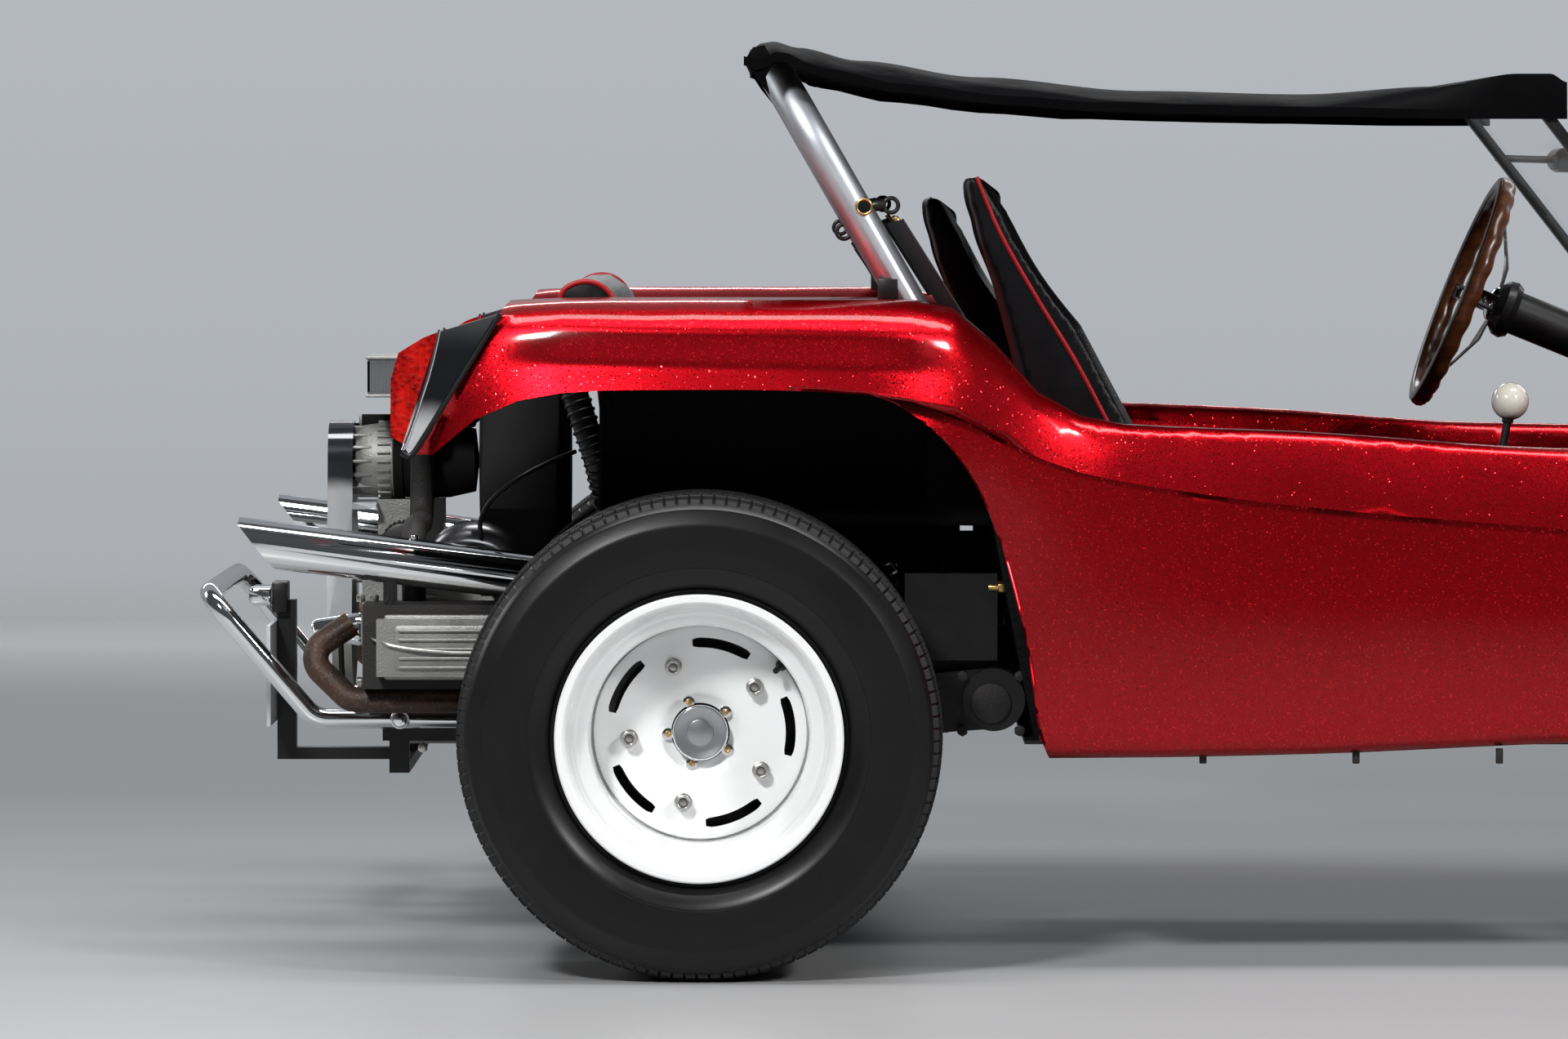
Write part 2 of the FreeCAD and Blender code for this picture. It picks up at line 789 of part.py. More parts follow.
def make_transaxle():
    """Gearbox and final drive between the horns, ahead of the engine."""
    case = Part.makeSphere(128, Vector(0, 0, rear_axle_z + 10))
    case = case.common(block((-118, -125, rear_axle_z - 120), (130, 125, rear_axle_z + 130)))
    nose = Part.makeCone(85, 60, 270, Vector(100, 0, rear_axle_z + 10), Vector(1, 0, 0))
    bell = Part.makeCone(165, 115, 105, Vector(-176, 0, crank_z), Vector(1, 0, 0))
    feet = block((-128, -180, fork_top + gap), (-84, 180, fork_top + 34))
    return solid_part("transaxle", fused([case, nose, bell, feet]))


def make_engine_case():
    """Crankcase with its sump, pulley and the generator's stand."""
    case = block((-520, -110, crank_z - 130), (-176 - gap, 110, crank_z + 110))
    sump = block((-480, -90, crank_z - 168), (-240, 90, crank_z - 130))
    stand = block(
        (-500, -40, crank_z + 110),
        (-400, 40, crank_z + size("belt_centres") - size("alternator_radius") - gap),
    )
    pulley = Part.makeCylinder(86, 30, Vector(-568, 0, crank_z), Vector(1, 0, 0))
    shaft = rod((-545, 0, crank_z), (-515, 0, crank_z), 22)
    return solid_part("engine_case", fused([case, sump, stand, pulley, shaft]))


def make_cylinders():
    """Finned barrels and heads, two cylinders to a side."""
    pieces = []
    for side in (LEFT, RIGHT):
        barrels = []
        for x in (-270, -420):
            low_y, high_y = sorted((side * (110 + gap), side * 330))
            barrels.append(
                Part.makeCylinder(
                    size("cylinder_radius") - 10, high_y - low_y, Vector(x, low_y, crank_z), Vector(0, 1, 0),
                ),
            )
            for index in range(6):
                y = side * (130 + index * 32)
                low = y if side == LEFT else y - 10
                barrels.append(
                    Part.makeCylinder(size("cylinder_radius"), 10, Vector(x, low, crank_z), Vector(0, 1, 0)),
                )
        low_y, high_y = sorted((side * 320, side * size("head_y")))
        head = block((-500, low_y, crank_z - 62), (-190, high_y, crank_z + 62))
        pieces.append(fused(barrels + [head]))
    return solid_part("cylinders", Part.makeCompound(pieces))


def make_valve_covers():
    """Pressed covers on the outer ends of the heads."""
    covers = []
    for side in (LEFT, RIGHT):
        start = size("head_y") + gap
        low_y, high_y = sorted((side * start, side * (start + 32)))
        covers.append(block((-478, low_y, crank_z - 42), (-212, high_y, crank_z + 42)))
    return solid_part("valve_covers", Part.makeCompound(covers))


def make_fan_shroud():
    """Upright cooling shroud across the engine with the round fan housing in the middle."""
    half = size("shroud_half_width")
    outline = [
        (-330, -half, crank_z + 70),
        (-330, half, crank_z + 70),
        (-330, half, crank_z + 200),
        (-330, 200, crank_z + 400),
        (-330, -200, crank_z + 400),
        (-330, -half, crank_z + 200),
    ]
    shroud = prism(outline, (110, 0, 0))
    drum = Part.makeCylinder(165, 130, Vector(-340, 0, crank_z + size("belt_centres")), Vector(1, 0, 0))
    rest = block((-345, -110 - gap, crank_z + 60), (-170, 110 + gap, crank_z + 110 + gap))
    return solid_part("fan_shroud", fused([shroud, drum]).cut(rest))


def make_alternator():
    """Alternator on its stand, with fan pulley."""
    z = crank_z + size("belt_centres")
    case = Part.makeCylinder(size("alternator_radius"), 150, Vector(-500, 0, z), Vector(1, 0, 0))
    snout = rod((-340 - gap, 0, z), (-350, 0, z), 40)
    pulley = Part.makeCylinder(46, 22, Vector(-564, 0, z), Vector(1, 0, 0))
    shaft = rod((-545, 0, z), (-498, 0, z), 12)
    return solid_part("alternator", fused([case, snout, pulley, shaft]))


def make_carburettor():
    """Carburettor over the alternator on its intake pipe."""
    z = crank_z + size("belt_centres")
    runner = bent_tube(
        [
            (-430, -330, crank_z + 62 + gap),
            (-430, -330, crank_z + 170),
            (-430, -90, z - 90),
            (-430, -90, z + 60),
        ],
        18,
        40,
    )
    barrel = Part.makeCylinder(32, 60, Vector(-430, -90, z + 40))
    return solid_part("carburettor", fused([runner, barrel]))


def make_air_cleaner():
    """Pleated rectangular air cleaner with plates above and below."""
    z = crank_z + size("belt_centres")
    body = block((-508, -160, z + 100 + gap), (-350, 60, z + 162))
    return solid_part("air_cleaner", body)


def make_belt_guard():
    """A strip that hoops over the belt between the two pulleys."""
    z = crank_z + size("belt_centres")
    outer = prism(
        [(-575, -100, crank_z + 7), (-575, 100, crank_z + 7), (-575, 60, z), (-575, -60, z)], (38, 0, 0),
    )
    crown = Part.makeCylinder(60, 38, Vector(-575, 0, z), Vector(1, 0, 0))
    inner = prism(
        [(-576, -97, crank_z + 5), (-576, 97, crank_z + 5), (-576, 57, z), (-576, -57, z)], (42, 0, 0),
    )
    hollow = Part.makeCylinder(57, 42, Vector(-576, 0, z), Vector(1, 0, 0))
    ear = block((-537.5, -73, z - 72), (-500 - gap, -40 - gap, z - 62))
    ear = fused([ear, mirrored(ear)])
    guard = fused([outer, crown]).cut(fused([inner, hollow])).fuse(ear)
    return solid_part("belt_guard", guard)


make_floor_pan()
solid_part("rear_axles", Part.makeCompound(make_rear_axles() + make_spring_plates()))
make_transaxle()
make_engine_case()
make_cylinders()
make_valve_covers()
make_fan_shroud()
make_alternator()
make_carburettor()
make_air_cleaner()
make_belt_guard()


deck_z = size("deck_height")
rail_z = size("rail_height")
lip_z = size("fender_lip_height")
fender_y = size("fender_half_width")
cockpit_y = size("cockpit_half_width")
firewall_x = size("firewall_x")
cowl_x = size("cowl_x")
cowl_z = size("cowl_height")
panel_z = size("panel_bottom")


def band_outline(inner_y, outer_y, top_z, edge_z):
    """Half of the shell's upper edge: inner flange, crowned top, rounded shoulder and side."""
    width = outer_y - inner_y
    drop = top_z - edge_z
    return [
        (inner_y, top_z - 0.5 * drop),
        (inner_y + 2, top_z - 0.18 * drop),
        (inner_y + 0.12 * width, top_z - 2),
        (inner_y + 0.45 * width, top_z + 3),
        (outer_y - 0.25 * width, top_z - 0.02 * drop),
        (outer_y - 0.10 * width, top_z - 0.16 * drop),
        (outer_y - 0.042 * width, top_z - 0.36 * drop),
        (outer_y - 0.036 * width, top_z - 0.52 * drop),
        (outer_y - 0.012 * width, top_z - 0.70 * drop),
        (outer_y + 2, edge_z),
    ]


def slope_at(rows, index, column):
    """The slope of a station table's column at one row, flat where the column turns."""
    if index in (0, len(rows) - 1):
        other = 1 if index == 0 else index - 1
        return (rows[other][column] - rows[index][column]) / (rows[other][0] - rows[index][0])
    before = (rows[index][column] - rows[index - 1][column]) / (rows[index][0] - rows[index - 1][0])
    after = (rows[index + 1][column] - rows[index][column]) / (rows[index + 1][0] - rows[index][0])
    return 0.0 if before * after <= 0 else 2 * before * after / (before + after)


def row_at(rows, x):
    """A station table's values at x, eased from row to row."""
    index = max(i for i in range(len(rows) - 1) if rows[i][0] <= x + 1e-6)
    low, high = rows[index], rows[index + 1]
    span = high[0] - low[0]
    t = (x - low[0]) / span
    values = []
    for column in range(1, len(low)):
        m0 = slope_at(rows, index, column) * span
        m1 = slope_at(rows, index + 1, column) * span
        a = (2 * t**3 - 3 * t**2 + 1) * low[column] + (t**3 - 2 * t**2 + t) * m0
        b = (3 * t**2 - 2 * t**3) * high[column] + (t**3 - t**2) * m1
        values.append(a + b)
    return values


def banded(rows, step, outline):
    """A thin ruled shell along a station table, with a section about every step."""
    low, high = rows[0][0], rows[-1][0]
    count = max(2, round((high - low) / step))
    wires = []
    for index in range(count + 1):
        x = low + (high - low) * index / count
        wires.append(band_section(x, outline(*row_at(rows, x)), wall))
    return lofted(wires, ruled=True)


def space_under(rows, step, outline, reach, lift):
    """The space on a reach's side of a banded shell's outer surface, raised by a lift."""
    low, high = rows[0][0], rows[-1][0]
    count = max(2, round((high - low) / step))
    wires = []
    for index in range(count + 1):
        x = low + (high - low) * index / count
        line = [Vector(x, y, z + lift) for y, z in outline(*row_at(rows, x))]
        top = Part.BSplineCurve()
        top.interpolate(line)
        corners = [line[-1], line[-1] + reach, line[0] + reach, line[0]]
        sides = [Part.LineSegment(start, end).toShape() for start, end in zip(corners, corners[1:])]
        wires.append(Part.Wire([top.toShape()] + sides))
    return lofted(wires, ruled=True)


def hood_outline(half_y, edge_z, middle_z):
    """Across the hood: low at the fenders, crowned in the middle."""
    rise = middle_z - edge_z
    return [
        (-half_y, edge_z),
        (-0.78 * half_y, edge_z + 0.66 * rise),
        (-0.42 * half_y, edge_z + 0.95 * rise),
        (0, middle_z),
        (0.42 * half_y, edge_z + 0.95 * rise),
        (0.78 * half_y, edge_z + 0.66 * rise),
        (half_y, edge_z),
    ]


inner_rear_y = 490
DOWN = Vector(0, 0, -400)
shelf_z = size("shelf_height")
TAIL_TOP = (-287, deck_z - 17)
TAIL_LOW = (-414, lip_z - 93)
# Stations of the shell's edge: x, inner y, outer y, top z, lower edge z.
REAR_BAND = [
    (-445, inner_rear_y + 45, fender_y - 105, deck_z - 45, lip_z - 95),
    (-396, inner_rear_y + 25, fender_y - 55, deck_z - 24, lip_z - 98),
    (-338, inner_rear_y + 12, fender_y - 25, deck_z - 10, lip_z - 52),
    (-255, inner_rear_y + 5, fender_y - 8, deck_z - 3, lip_z - 14),
    (-150, inner_rear_y, fender_y, deck_z, lip_z),
    (60, inner_rear_y, fender_y, deck_z, lip_z + 1),
    (250, inner_rear_y, fender_y - 4, deck_z, lip_z - 7),
    (341, inner_rear_y + 8, fender_y - 18, deck_z - 5, lip_z - 28),
    (427, inner_rear_y + 25, cockpit_y + 62, deck_z - 66, lip_z - 68),
    (513, inner_rear_y + 50, cockpit_y + 28, rail_z + 38, rail_z - 44),
    (600, inner_rear_y + 66, cockpit_y + 10, rail_z + 12, rail_z - 66),
    (870, inner_rear_y + 74, cockpit_y, rail_z, rail_z - 104),
    (1244, inner_rear_y + 74, cockpit_y, rail_z - 24, rail_z - 136),
    (1500, inner_rear_y + 50, cockpit_y + 5, rail_z - 27, rail_z - 155),
    (1640, inner_rear_y, cockpit_y + 32, rail_z - 8, rail_z - 165),
    (1780, inner_rear_y - 40, cockpit_y + 88, rail_z + 20, rail_z - 115),
    (1920, inner_rear_y - 55, cockpit_y + 132, rail_z + 32, rail_z - 70),
    (2060, inner_rear_y - 60, cockpit_y + 142, rail_z + 26, rail_z - 62),
    (2200, inner_rear_y - 60, cockpit_y + 130, rail_z - 4, rail_z - 90),
    (2340, inner_rear_y - 60, cockpit_y + 92, rail_z - 58, rail_z - 150),
    (2460, inner_rear_y - 62, cockpit_y + 24, rail_z - 120, rail_z - 225),
    (2550, inner_rear_y - 66, cockpit_y - 70, rail_z - 185, rail_z - 300),
    (2600, inner_rear_y - 84, cockpit_y - 140, rail_z - 262, rail_z - 352),
]
# Stations of the hood: x, half width, edge z, middle z.
HOOD = [
    (cowl_x, 560, rail_z - 34, cowl_z),
    (1640, 502, rail_z - 24, cowl_z - 22),
    (1780, 462, rail_z - 2, cowl_z - 52),
    (1920, 447, rail_z + 16, cowl_z - 84),
    (2060, 442, rail_z + 10, cowl_z - 122),
    (2200, 442, rail_z - 22, cowl_z - 168),
    (2340, 442, rail_z - 78, cowl_z - 228),
    (2460, 440, rail_z - 142, cowl_z - 296),
    (2550, 436, rail_z - 212, cowl_z - 372),
    (2600, 418, rail_z - 300, cowl_z - 452),
]


def upright_section(x, y, low, high):
    """The section of an upright wall at one station."""
    corners = [Vector(x, y, low), Vector(x, y, high), Vector(x, y + wall, high), Vector(x, y + wall, low)]
    return Part.makePolygon(corners + corners[:1])


def hoop_route():
    """The hoop's line: up one leg, across, down the other, each foot inside a fender."""
    foot_z = 756
    lean = math.radians(size("hoop_lean"))
    tube = size("hoop_tube_radius")
    top_x = 102
    foot_x = top_x + (size("hoop_height") - tube - foot_z) * math.tan(lean)
    side = size("hoop_half_width")
    top_z = size("hoop_height") - tube
    return [(foot_x, -side, foot_z), (top_x, -side, top_z), (top_x, side, top_z), (foot_x, side, foot_z)]


def column_line():
    """Where the steering column starts behind its wheel, and which way it runs."""
    tilt = math.radians(size("column_tilt"))
    axis = Vector(math.cos(tilt), 0, -math.sin(tilt))
    return Vector(1180, size("wheel_y"), 968) + axis * (88 + gap), axis


def make_body_shell():
    """Fibreglass tub: fender and rail bands, inner walls, firewall, seat riser, hood and nose."""
    band = banded(REAR_BAND, 62, band_outline)
    top_x, top_z = TAIL_TOP
    low_x, low_z = TAIL_LOW
    slope = (low_x - top_x) / (low_z - top_z)
    reach = 140
    lamp_space = prism(
        [
            (top_x + reach * slope, inner_rear_y - 60, top_z + reach),
            (low_x - reach * slope, inner_rear_y - 60, low_z - reach),
            (-600, inner_rear_y - 60, low_z - reach),
            (-600, inner_rear_y - 60, top_z + reach),
        ],
        (0, 400, 0),
    )
    band = band.cut(lamp_space)
    tail_plate = prism(
        [
            (top_x, inner_rear_y + 14, top_z),
            (top_x + wall, inner_rear_y + 14, top_z),
            (low_x + wall, inner_rear_y + 14, low_z),
            (low_x, inner_rear_y + 14, low_z),
        ],
        (0, fender_y - inner_rear_y - 50, 0),
    )
    base = pan_z + pan_sheet + gap
    inner_wall = prism(
        [
            (firewall_x, inner_rear_y - 1, shelf_z - 12),
            (firewall_x, inner_rear_y - 1, deck_z - 26),
            (333, inner_rear_y - 1, deck_z - 26),
            (333, inner_rear_y - 1, shelf_z - 12),
        ],
        (0, wall, 0),
    )
    rows = [
        (328, inner_rear_y + 1, shelf_z - 12, deck_z - 34),
        (425, inner_rear_y + 23, shelf_z - 12, deck_z - 96),
        (pan_rear + 22, inner_rear_y + 43, base, rail_z + 26),
        (620, inner_rear_y + 64, base, rail_z - 12),
        (1240, inner_rear_y + 71, base, rail_z - 52),
        (1500, inner_rear_y + 48, base, rail_z - 54),
        (1640, inner_rear_y - 60, rail_z - 160, rail_z - 30),
    ]
    lower_wall = Part.makeLoft([upright_section(x, y, low, high) for x, y, low, high in rows], True, True)
    half = fused([band, tail_plate, inner_wall, lower_wall])
    hood = banded(HOOD, 70, hood_outline)
    across = inner_rear_y + wall
    firewall = block((firewall_x, -across, shelf_z - 16), (firewall_x + wall, across, deck_z - 20))
    shelf = block((firewall_x, -across, shelf_z - wall), (425, across, shelf_z))
    riser = prism(
        [
            (pan_rear + 22, -across - 30, base),
            (428, -across - 30, shelf_z),
            (428 - wall, -across - 30, shelf_z),
            (pan_rear + 22 - wall, -across - 30, base),
        ],
        (0, 2 * across + 60, 0),
    )
    toe = prism(
        [
            (pan_front + 6, -cockpit_y, base),
            (1640, -cockpit_y, rail_z - 150),
            (1634, -cockpit_y, rail_z - 144),
            (pan_front, -cockpit_y, base),
        ],
        (0, 2 * cockpit_y, 0),
    )
    wall_line = [(x, y + wall / 2, base - 10) for x, y, low, high in rows[4:]]
    floor_plan = wall_line + [(x, -y, z) for x, y, z in reversed(wall_line)]
    toe = toe.common(prism(floor_plan, (0, 0, rail_z - base)))
    under_skin = space_under(HOOD, 70, hood_outline, DOWN, -wall / 2)
    bulkhead = block((1634, -inner_rear_y, rail_z - 154), (1640, inner_rear_y, cowl_z + 20)).common(
        under_skin,
    )
    foot_plate = block((385, inner_rear_y + 12, 748), (450, inner_rear_y + 112, 754))
    foot_plates = [foot_plate, mirrored(foot_plate)]
    whole = fused([half, mirrored(half), hood, firewall, shelf, riser, toe, bulkhead] + foot_plates)
    tunnel_space = block(
        (torsion_x - 10, -tunnel_half - gap, pan_z - 40),
        (pan_front + 200, tunnel_half + gap, tunnel_top + gap),
    )
    head_space = block(
        (pan_front - 20, -100 - gap, pan_z - 60),
        (pan_front + 240, 100 + gap, tunnel_top - 40 + gap),
    )
    whole = whole.cut(tunnel_space).cut(head_space)
    hoop_space = bent_tube(hoop_route(), size("hoop_tube_radius") + 2, size("hoop_bend"))
    column_start, column_axis = column_line()
    column_space = rod(
        tuple(column_start), tuple(column_start + column_axis * 620), 21
    )
    whole = whole.cut(hoop_space).cut(column_space)
    solid_part("body_shell", whole)


make_body_shell()


seat_y = size("seat_y")
seat_wing = 52
hoop_radius = size("hoop_tube_radius")
hoop_y = size("hoop_half_width")
hoop_z = size("hoop_height")
lean = math.radians(size("hoop_lean"))
rake = math.radians(size("screen_rake"))
screen_y = size("screen_half_width")
screen_base_x = cowl_x + 12
screen_base_z = cowl_z + 6
screen_rise = size("screen_height")
screen_top_x = screen_base_x - screen_rise * math.sin(rake)
screen_top_z = screen_base_z + screen_rise * math.cos(rake)
bumper_radius = size("bumper_tube_radius")
rear_reach = size("rear_reach")
front_reach = size("front_reach")
pipe_radius = size("pipe_radius")
header_radius = size("header_radius")


def make_side_panels():
    """Lower side panels behind the front arch, each with a rear arch edge and its flange."""
    flush = cockpit_y - size("panel_gap") - wall
    rows = [
        (240, fender_y - 18, fender_y - 50, lip_z - 8, panel_z + 8),
        (341, fender_y - 34, fender_y - 72, lip_z - 34, panel_z + 5),
        (427, fender_y - 72, fender_y - 100, lip_z - 74, panel_z + 2),
        (513, cockpit_y + 22, cockpit_y + 14, rail_z - 50, panel_z),
        (620, cockpit_y + 3, cockpit_y + 1, rail_z - 68, panel_z),
        (870, flush, cockpit_y - 8, rail_z - 96, panel_z + 4),
        (1244, flush, cockpit_y - 8, rail_z - 128, panel_z + 20),
        (1500, flush, cockpit_y - 8, rail_z - 147, panel_z + 26),
        (1600, flush + 8, cockpit_y - 4, rail_z - 150, panel_z + 60),
    ]

    def outline(top_y, belly_y, top_z, low_z):
        return [
            (top_y - 2, top_z + 18),
            (top_y - 1, top_z - 30),
            (belly_y + 5, (top_z + low_z) / 2 + 20),
            (belly_y, low_z + 70),
            (belly_y - 12, low_z + 16),
            (belly_y - 42, low_z),
        ]

    arch = [
        (244, 834),
        (268, 827),
        (321, 794),
        (380, 729),
        (421, 647),
        (451, 552),
        (477, 423),
        (492, 335),
        (512, 292),
    ]

    def arch_space(shift):
        """The wheel's side of the arch, moved forward by a shift."""
        line = Part.BSplineCurve()
        line.interpolate([Vector(x + shift, -fender_y - 40, z) for x, z in arch])
        corners = [line.EndPoint, Vector(540, -fender_y - 40, 200), Vector(100, -fender_y - 40, 200)]
        corners += [
            Vector(100, -fender_y - 40, 900),
            Vector(arch[0][0] + shift, -fender_y - 40, 900),
            line.StartPoint,
        ]
        sides = [Part.LineSegment(start, end).toShape() for start, end in zip(corners, corners[1:])]
        return Part.Face(Part.Wire([line.toShape()] + sides)).extrude(Vector(0, 2 * fender_y + 80, 0))

    behind_panel = space_under(rows, 60, outline, Vector(0, -60, 0), 0)
    strip = arch_space(wall).cut(arch_space(0))
    pan_space = block((400, 0, 200), (600, pan_half + 4, pan_z + pan_sheet + 4))
    flange = behind_panel.common(strip).cut(pan_space).cut(block((200, 0, 100), (620, 900, panel_z + 24)))
    panel = banded(rows, 60, outline).cut(arch_space(0)).fuse(flange)
    for side_name, side in SIDES.items():
        solid_part("side_panel_" + side_name, panel if side == LEFT else mirrored(panel))


def make_dash():
    """A crowned dash panel closing the cowl's rear edge, with the column's hole."""
    _, _, edge_z, middle_z = HOOD[0]
    crown = Part.BSplineCurve()
    crown.interpolate([Vector(cowl_x - gap, y, z) for y, z in hood_outline(530, edge_z, middle_z)])
    corners = [crown.EndPoint, Vector(cowl_x - gap, 530, rail_z - 60)]
    corners += [Vector(cowl_x - gap, -530, rail_z - 60), crown.StartPoint]
    sides = [Part.LineSegment(start, end).toShape() for start, end in zip(corners, corners[1:])]
    panel = Part.Face(Part.Wire([crown.toShape()] + sides)).extrude(Vector(-30, 0, 0))
    start, axis = column_line()
    hole = rod(tuple(start), tuple(start + axis * 620), 17 + gap)
    return solid_part("dash", panel.cut(hole))


def make_screen():
    """Flat glass in a four-sided frame, raked back over the cowl."""
    along = Vector(-math.sin(rake), 0, math.cos(rake))
    across = Vector(math.cos(rake), 0, math.sin(rake))
    base = Vector(screen_base_x, 0, screen_base_z)

    def slab(low_y, high_y, low_s, high_s, low_t, high_t):
        corners = [
            base + along * low_s + across * low_t,
            base + along * high_s + across * low_t,
            base + along * high_s + across * high_t,
            base + along * low_s + across * high_t,
        ]
        corners = [Vector(c.x, low_y, c.z) for c in corners]
        return Part.Face(Part.makePolygon(corners + corners[:1])).extrude(Vector(0, high_y - low_y, 0))

    outer = slab(-screen_y, screen_y, -150, screen_rise, -8, 8)
    inner = slab(-screen_y + 24, screen_y - 24, 24, screen_rise - 24, -12, 12)
    rails = [row for row in REAR_BAND if 1244 <= row[0] <= 1780]
    rail_space = space_under(rails, 62, band_outline, DOWN, 3 * gap)
    whole = outer.cut(inner)
    for space in (space_under(HOOD, 70, hood_outline, DOWN, 3 * gap), rail_space, mirrored(rail_space)):
        whole = whole.cut(space)
    solid_part("windscreen_frame", whole)
    half_glass = size("glass_thickness") / 2
    glass = slab(
        -screen_y + 24 + gap, screen_y - 24 - gap, 24 + gap, screen_rise - 24 - gap, -half_glass, half_glass,
    )
    solid_part("windscreen_glass", glass)
    ends = [
        Part.makeCylinder(19.5, 112, Vector(x, screen_y + 26, 1175), Vector(0, 1, 0))
        for x in (1374, 1430)
    ]
    head = fused(ends + [block((1374, screen_y + 26, 1155.5), (1430, screen_y + 138, 1194.5))])
    post_at = base + along * 350
    arm = rod((post_at.x, screen_y + 4 * gap, post_at.z), (post_at.x, screen_y + 40, post_at.z), 6)
    reach = rod((post_at.x, screen_y + 36, post_at.z), (1380, screen_y + 60, 1175), 6)
    solid_part(
        "mirror", fused([head, arm, reach, Part.makeSphere(6, Vector(post_at.x, screen_y + 38, post_at.z))]),
    )


def make_roll_bar():
    """One hoop behind the seats, leaning back."""
    return solid_part("roll_bar", bent_tube(hoop_route(), hoop_radius, size("hoop_bend")))


def make_canvas():
    """A sagging sheet from the hoop to the screen's top rail, its sides hanging as skirts."""
    thick = size("canvas_thickness")
    half = hoop_y + size("canvas_overhang")
    rows = [
        (62, hoop_z - 21),
        (76, hoop_z - 2),
        (102, hoop_z + 7),
        (140, hoop_z - 2),
        (404, hoop_z - 43),
        (640, hoop_z - 63),
        (878, hoop_z - 69),
        (1060, hoop_z - 57),
        (screen_top_x, screen_top_z + 10.2),
        (screen_top_x + 44, screen_top_z + 9),
        (screen_top_x + 66, screen_top_z - 4),
    ]
    hem = [
        (100, hoop_z - 71),
        (156, hoop_z - 57),
        (404, hoop_z - 99),
        (640, hoop_z - 113),
        (925, hoop_z - 118),
        (1120, hoop_z - 116),
        (screen_top_x + 70, hoop_z - 115),
    ]

    def spline(points, y, drop):
        curve = Part.BSplineCurve()
        curve.interpolate([Vector(x, y, z - drop) for x, z in points])
        return curve

    def between(first, second, depth):
        """The flat sheet between two lines, moved sideways by its depth."""
        closing = [
            Part.LineSegment(first.EndPoint, second.EndPoint).toShape(),
            Part.LineSegment(second.StartPoint, first.StartPoint).toShape(),
        ]
        outline = Part.Wire([first.toShape(), closing[0], second.toShape(), closing[1]])
        return Part.Face(outline).extrude(Vector(0, depth, 0))

    top = between(spline(rows, -half, 0), spline(rows, -half, thick), 2 * half)
    skirts = [between(spline(rows, y, 1), spline(hem, y, 0), thick / 2) for y in (-half, half - thick / 2)]
    return solid_part("canvas_top", fused([top] + skirts))


SEAT_BACK = [(-8, 1150), (4, 1120), (24, 1051), (50, 958), (86, 820), (118, 690), (140, 560), (150, 440)]
SEAT_FRONT = [
    (10, 1152),
    (34, 1128),
    (72, 1080),
    (130, 975),
    (176, 888),
    (236, 780),
    (300, 690),
    (400, 622),
    (520, 590),
    (575, 575),
]
SEAT_HOLLOW = [
    (36, 1090),
    (66, 1000),
    (110, 880),
    (160, 740),
    (206, 610),
    (262, 545),
    (380, 522),
    (500, 534),
    (590, 545),
]


def make_seat(side_name, y, x, drop):
    """A high-back bucket: raised wings each side of a hollow back and cushion."""
    half = size("seat_width") / 2
    foot_z = pan_z + pan_sheet + 60

    def curve(points):
        line = Part.BSplineCurve()
        line.interpolate([Vector(x + along, y - half, high - drop) for along, high in points])
        return line

    back, front, hollow = curve(SEAT_BACK), curve(SEAT_FRONT), curve(SEAT_HOLLOW)
    corners = [
        back.EndPoint, Vector(x + 165, y - half, foot_z), Vector(x + 560, y - half, foot_z), front.EndPoint,
    ]
    sides = [Part.LineSegment(start, end).toShape() for start, end in zip(corners, corners[1:])]
    tip = Part.LineSegment(front.StartPoint, back.StartPoint).toShape()
    outline = Part.Wire([back.toShape()] + sides + [front.toShape(), tip])
    seat = Part.Face(outline).extrude(Vector(0, 2 * half, 0))
    closing = [
        hollow.EndPoint, Vector(x + 620, y - half, 1250), Vector(x + 36, y - half, 1250), hollow.StartPoint,
    ]
    edges = [Part.LineSegment(start, end).toShape() for start, end in zip(closing, closing[1:])]
    space = Part.Face(Part.Wire([hollow.toShape()] + edges)).extrude(Vector(0, 2 * half - 2 * seat_wing, 0))
    space.translate(Vector(0, seat_wing, 0))
    solid_part("seat_" + side_name, seat.cut(space))
    stand = []
    for foot_y in (y - half + 60, y + half - 80):
        stand.append(block((x + 200, foot_y, pan_z + pan_sheet + gap), (x + 520, foot_y + 20, foot_z - gap)))
    return stand


def make_bench():
    """Small rear bench: a cushion on the shelf and a pleated back rolled over the firewall."""
    seat_z = shelf_z + gap
    over = deck_z - 20 + gap
    outline = [
        (firewall_x + wall + gap, -440, seat_z),
        (330, -440, seat_z),
        (345, -440, seat_z + 40),
        (325, -440, seat_z + 64),
        (190, -440, seat_z + 50),
        (firewall_x + 110, -440, seat_z + 66),
        (firewall_x + 76, -440, seat_z + 110),
        (firewall_x + 34, -440, 970),
        (firewall_x + 14, -440, 996),
        (firewall_x - 18, -440, 1002),
        (firewall_x - 42, -440, 988),
        (firewall_x - 42, -440, over),
        (firewall_x + wall + gap, -440, over),
    ]
    return solid_part("rear_bench", prism(outline, (0, 880, 0)))


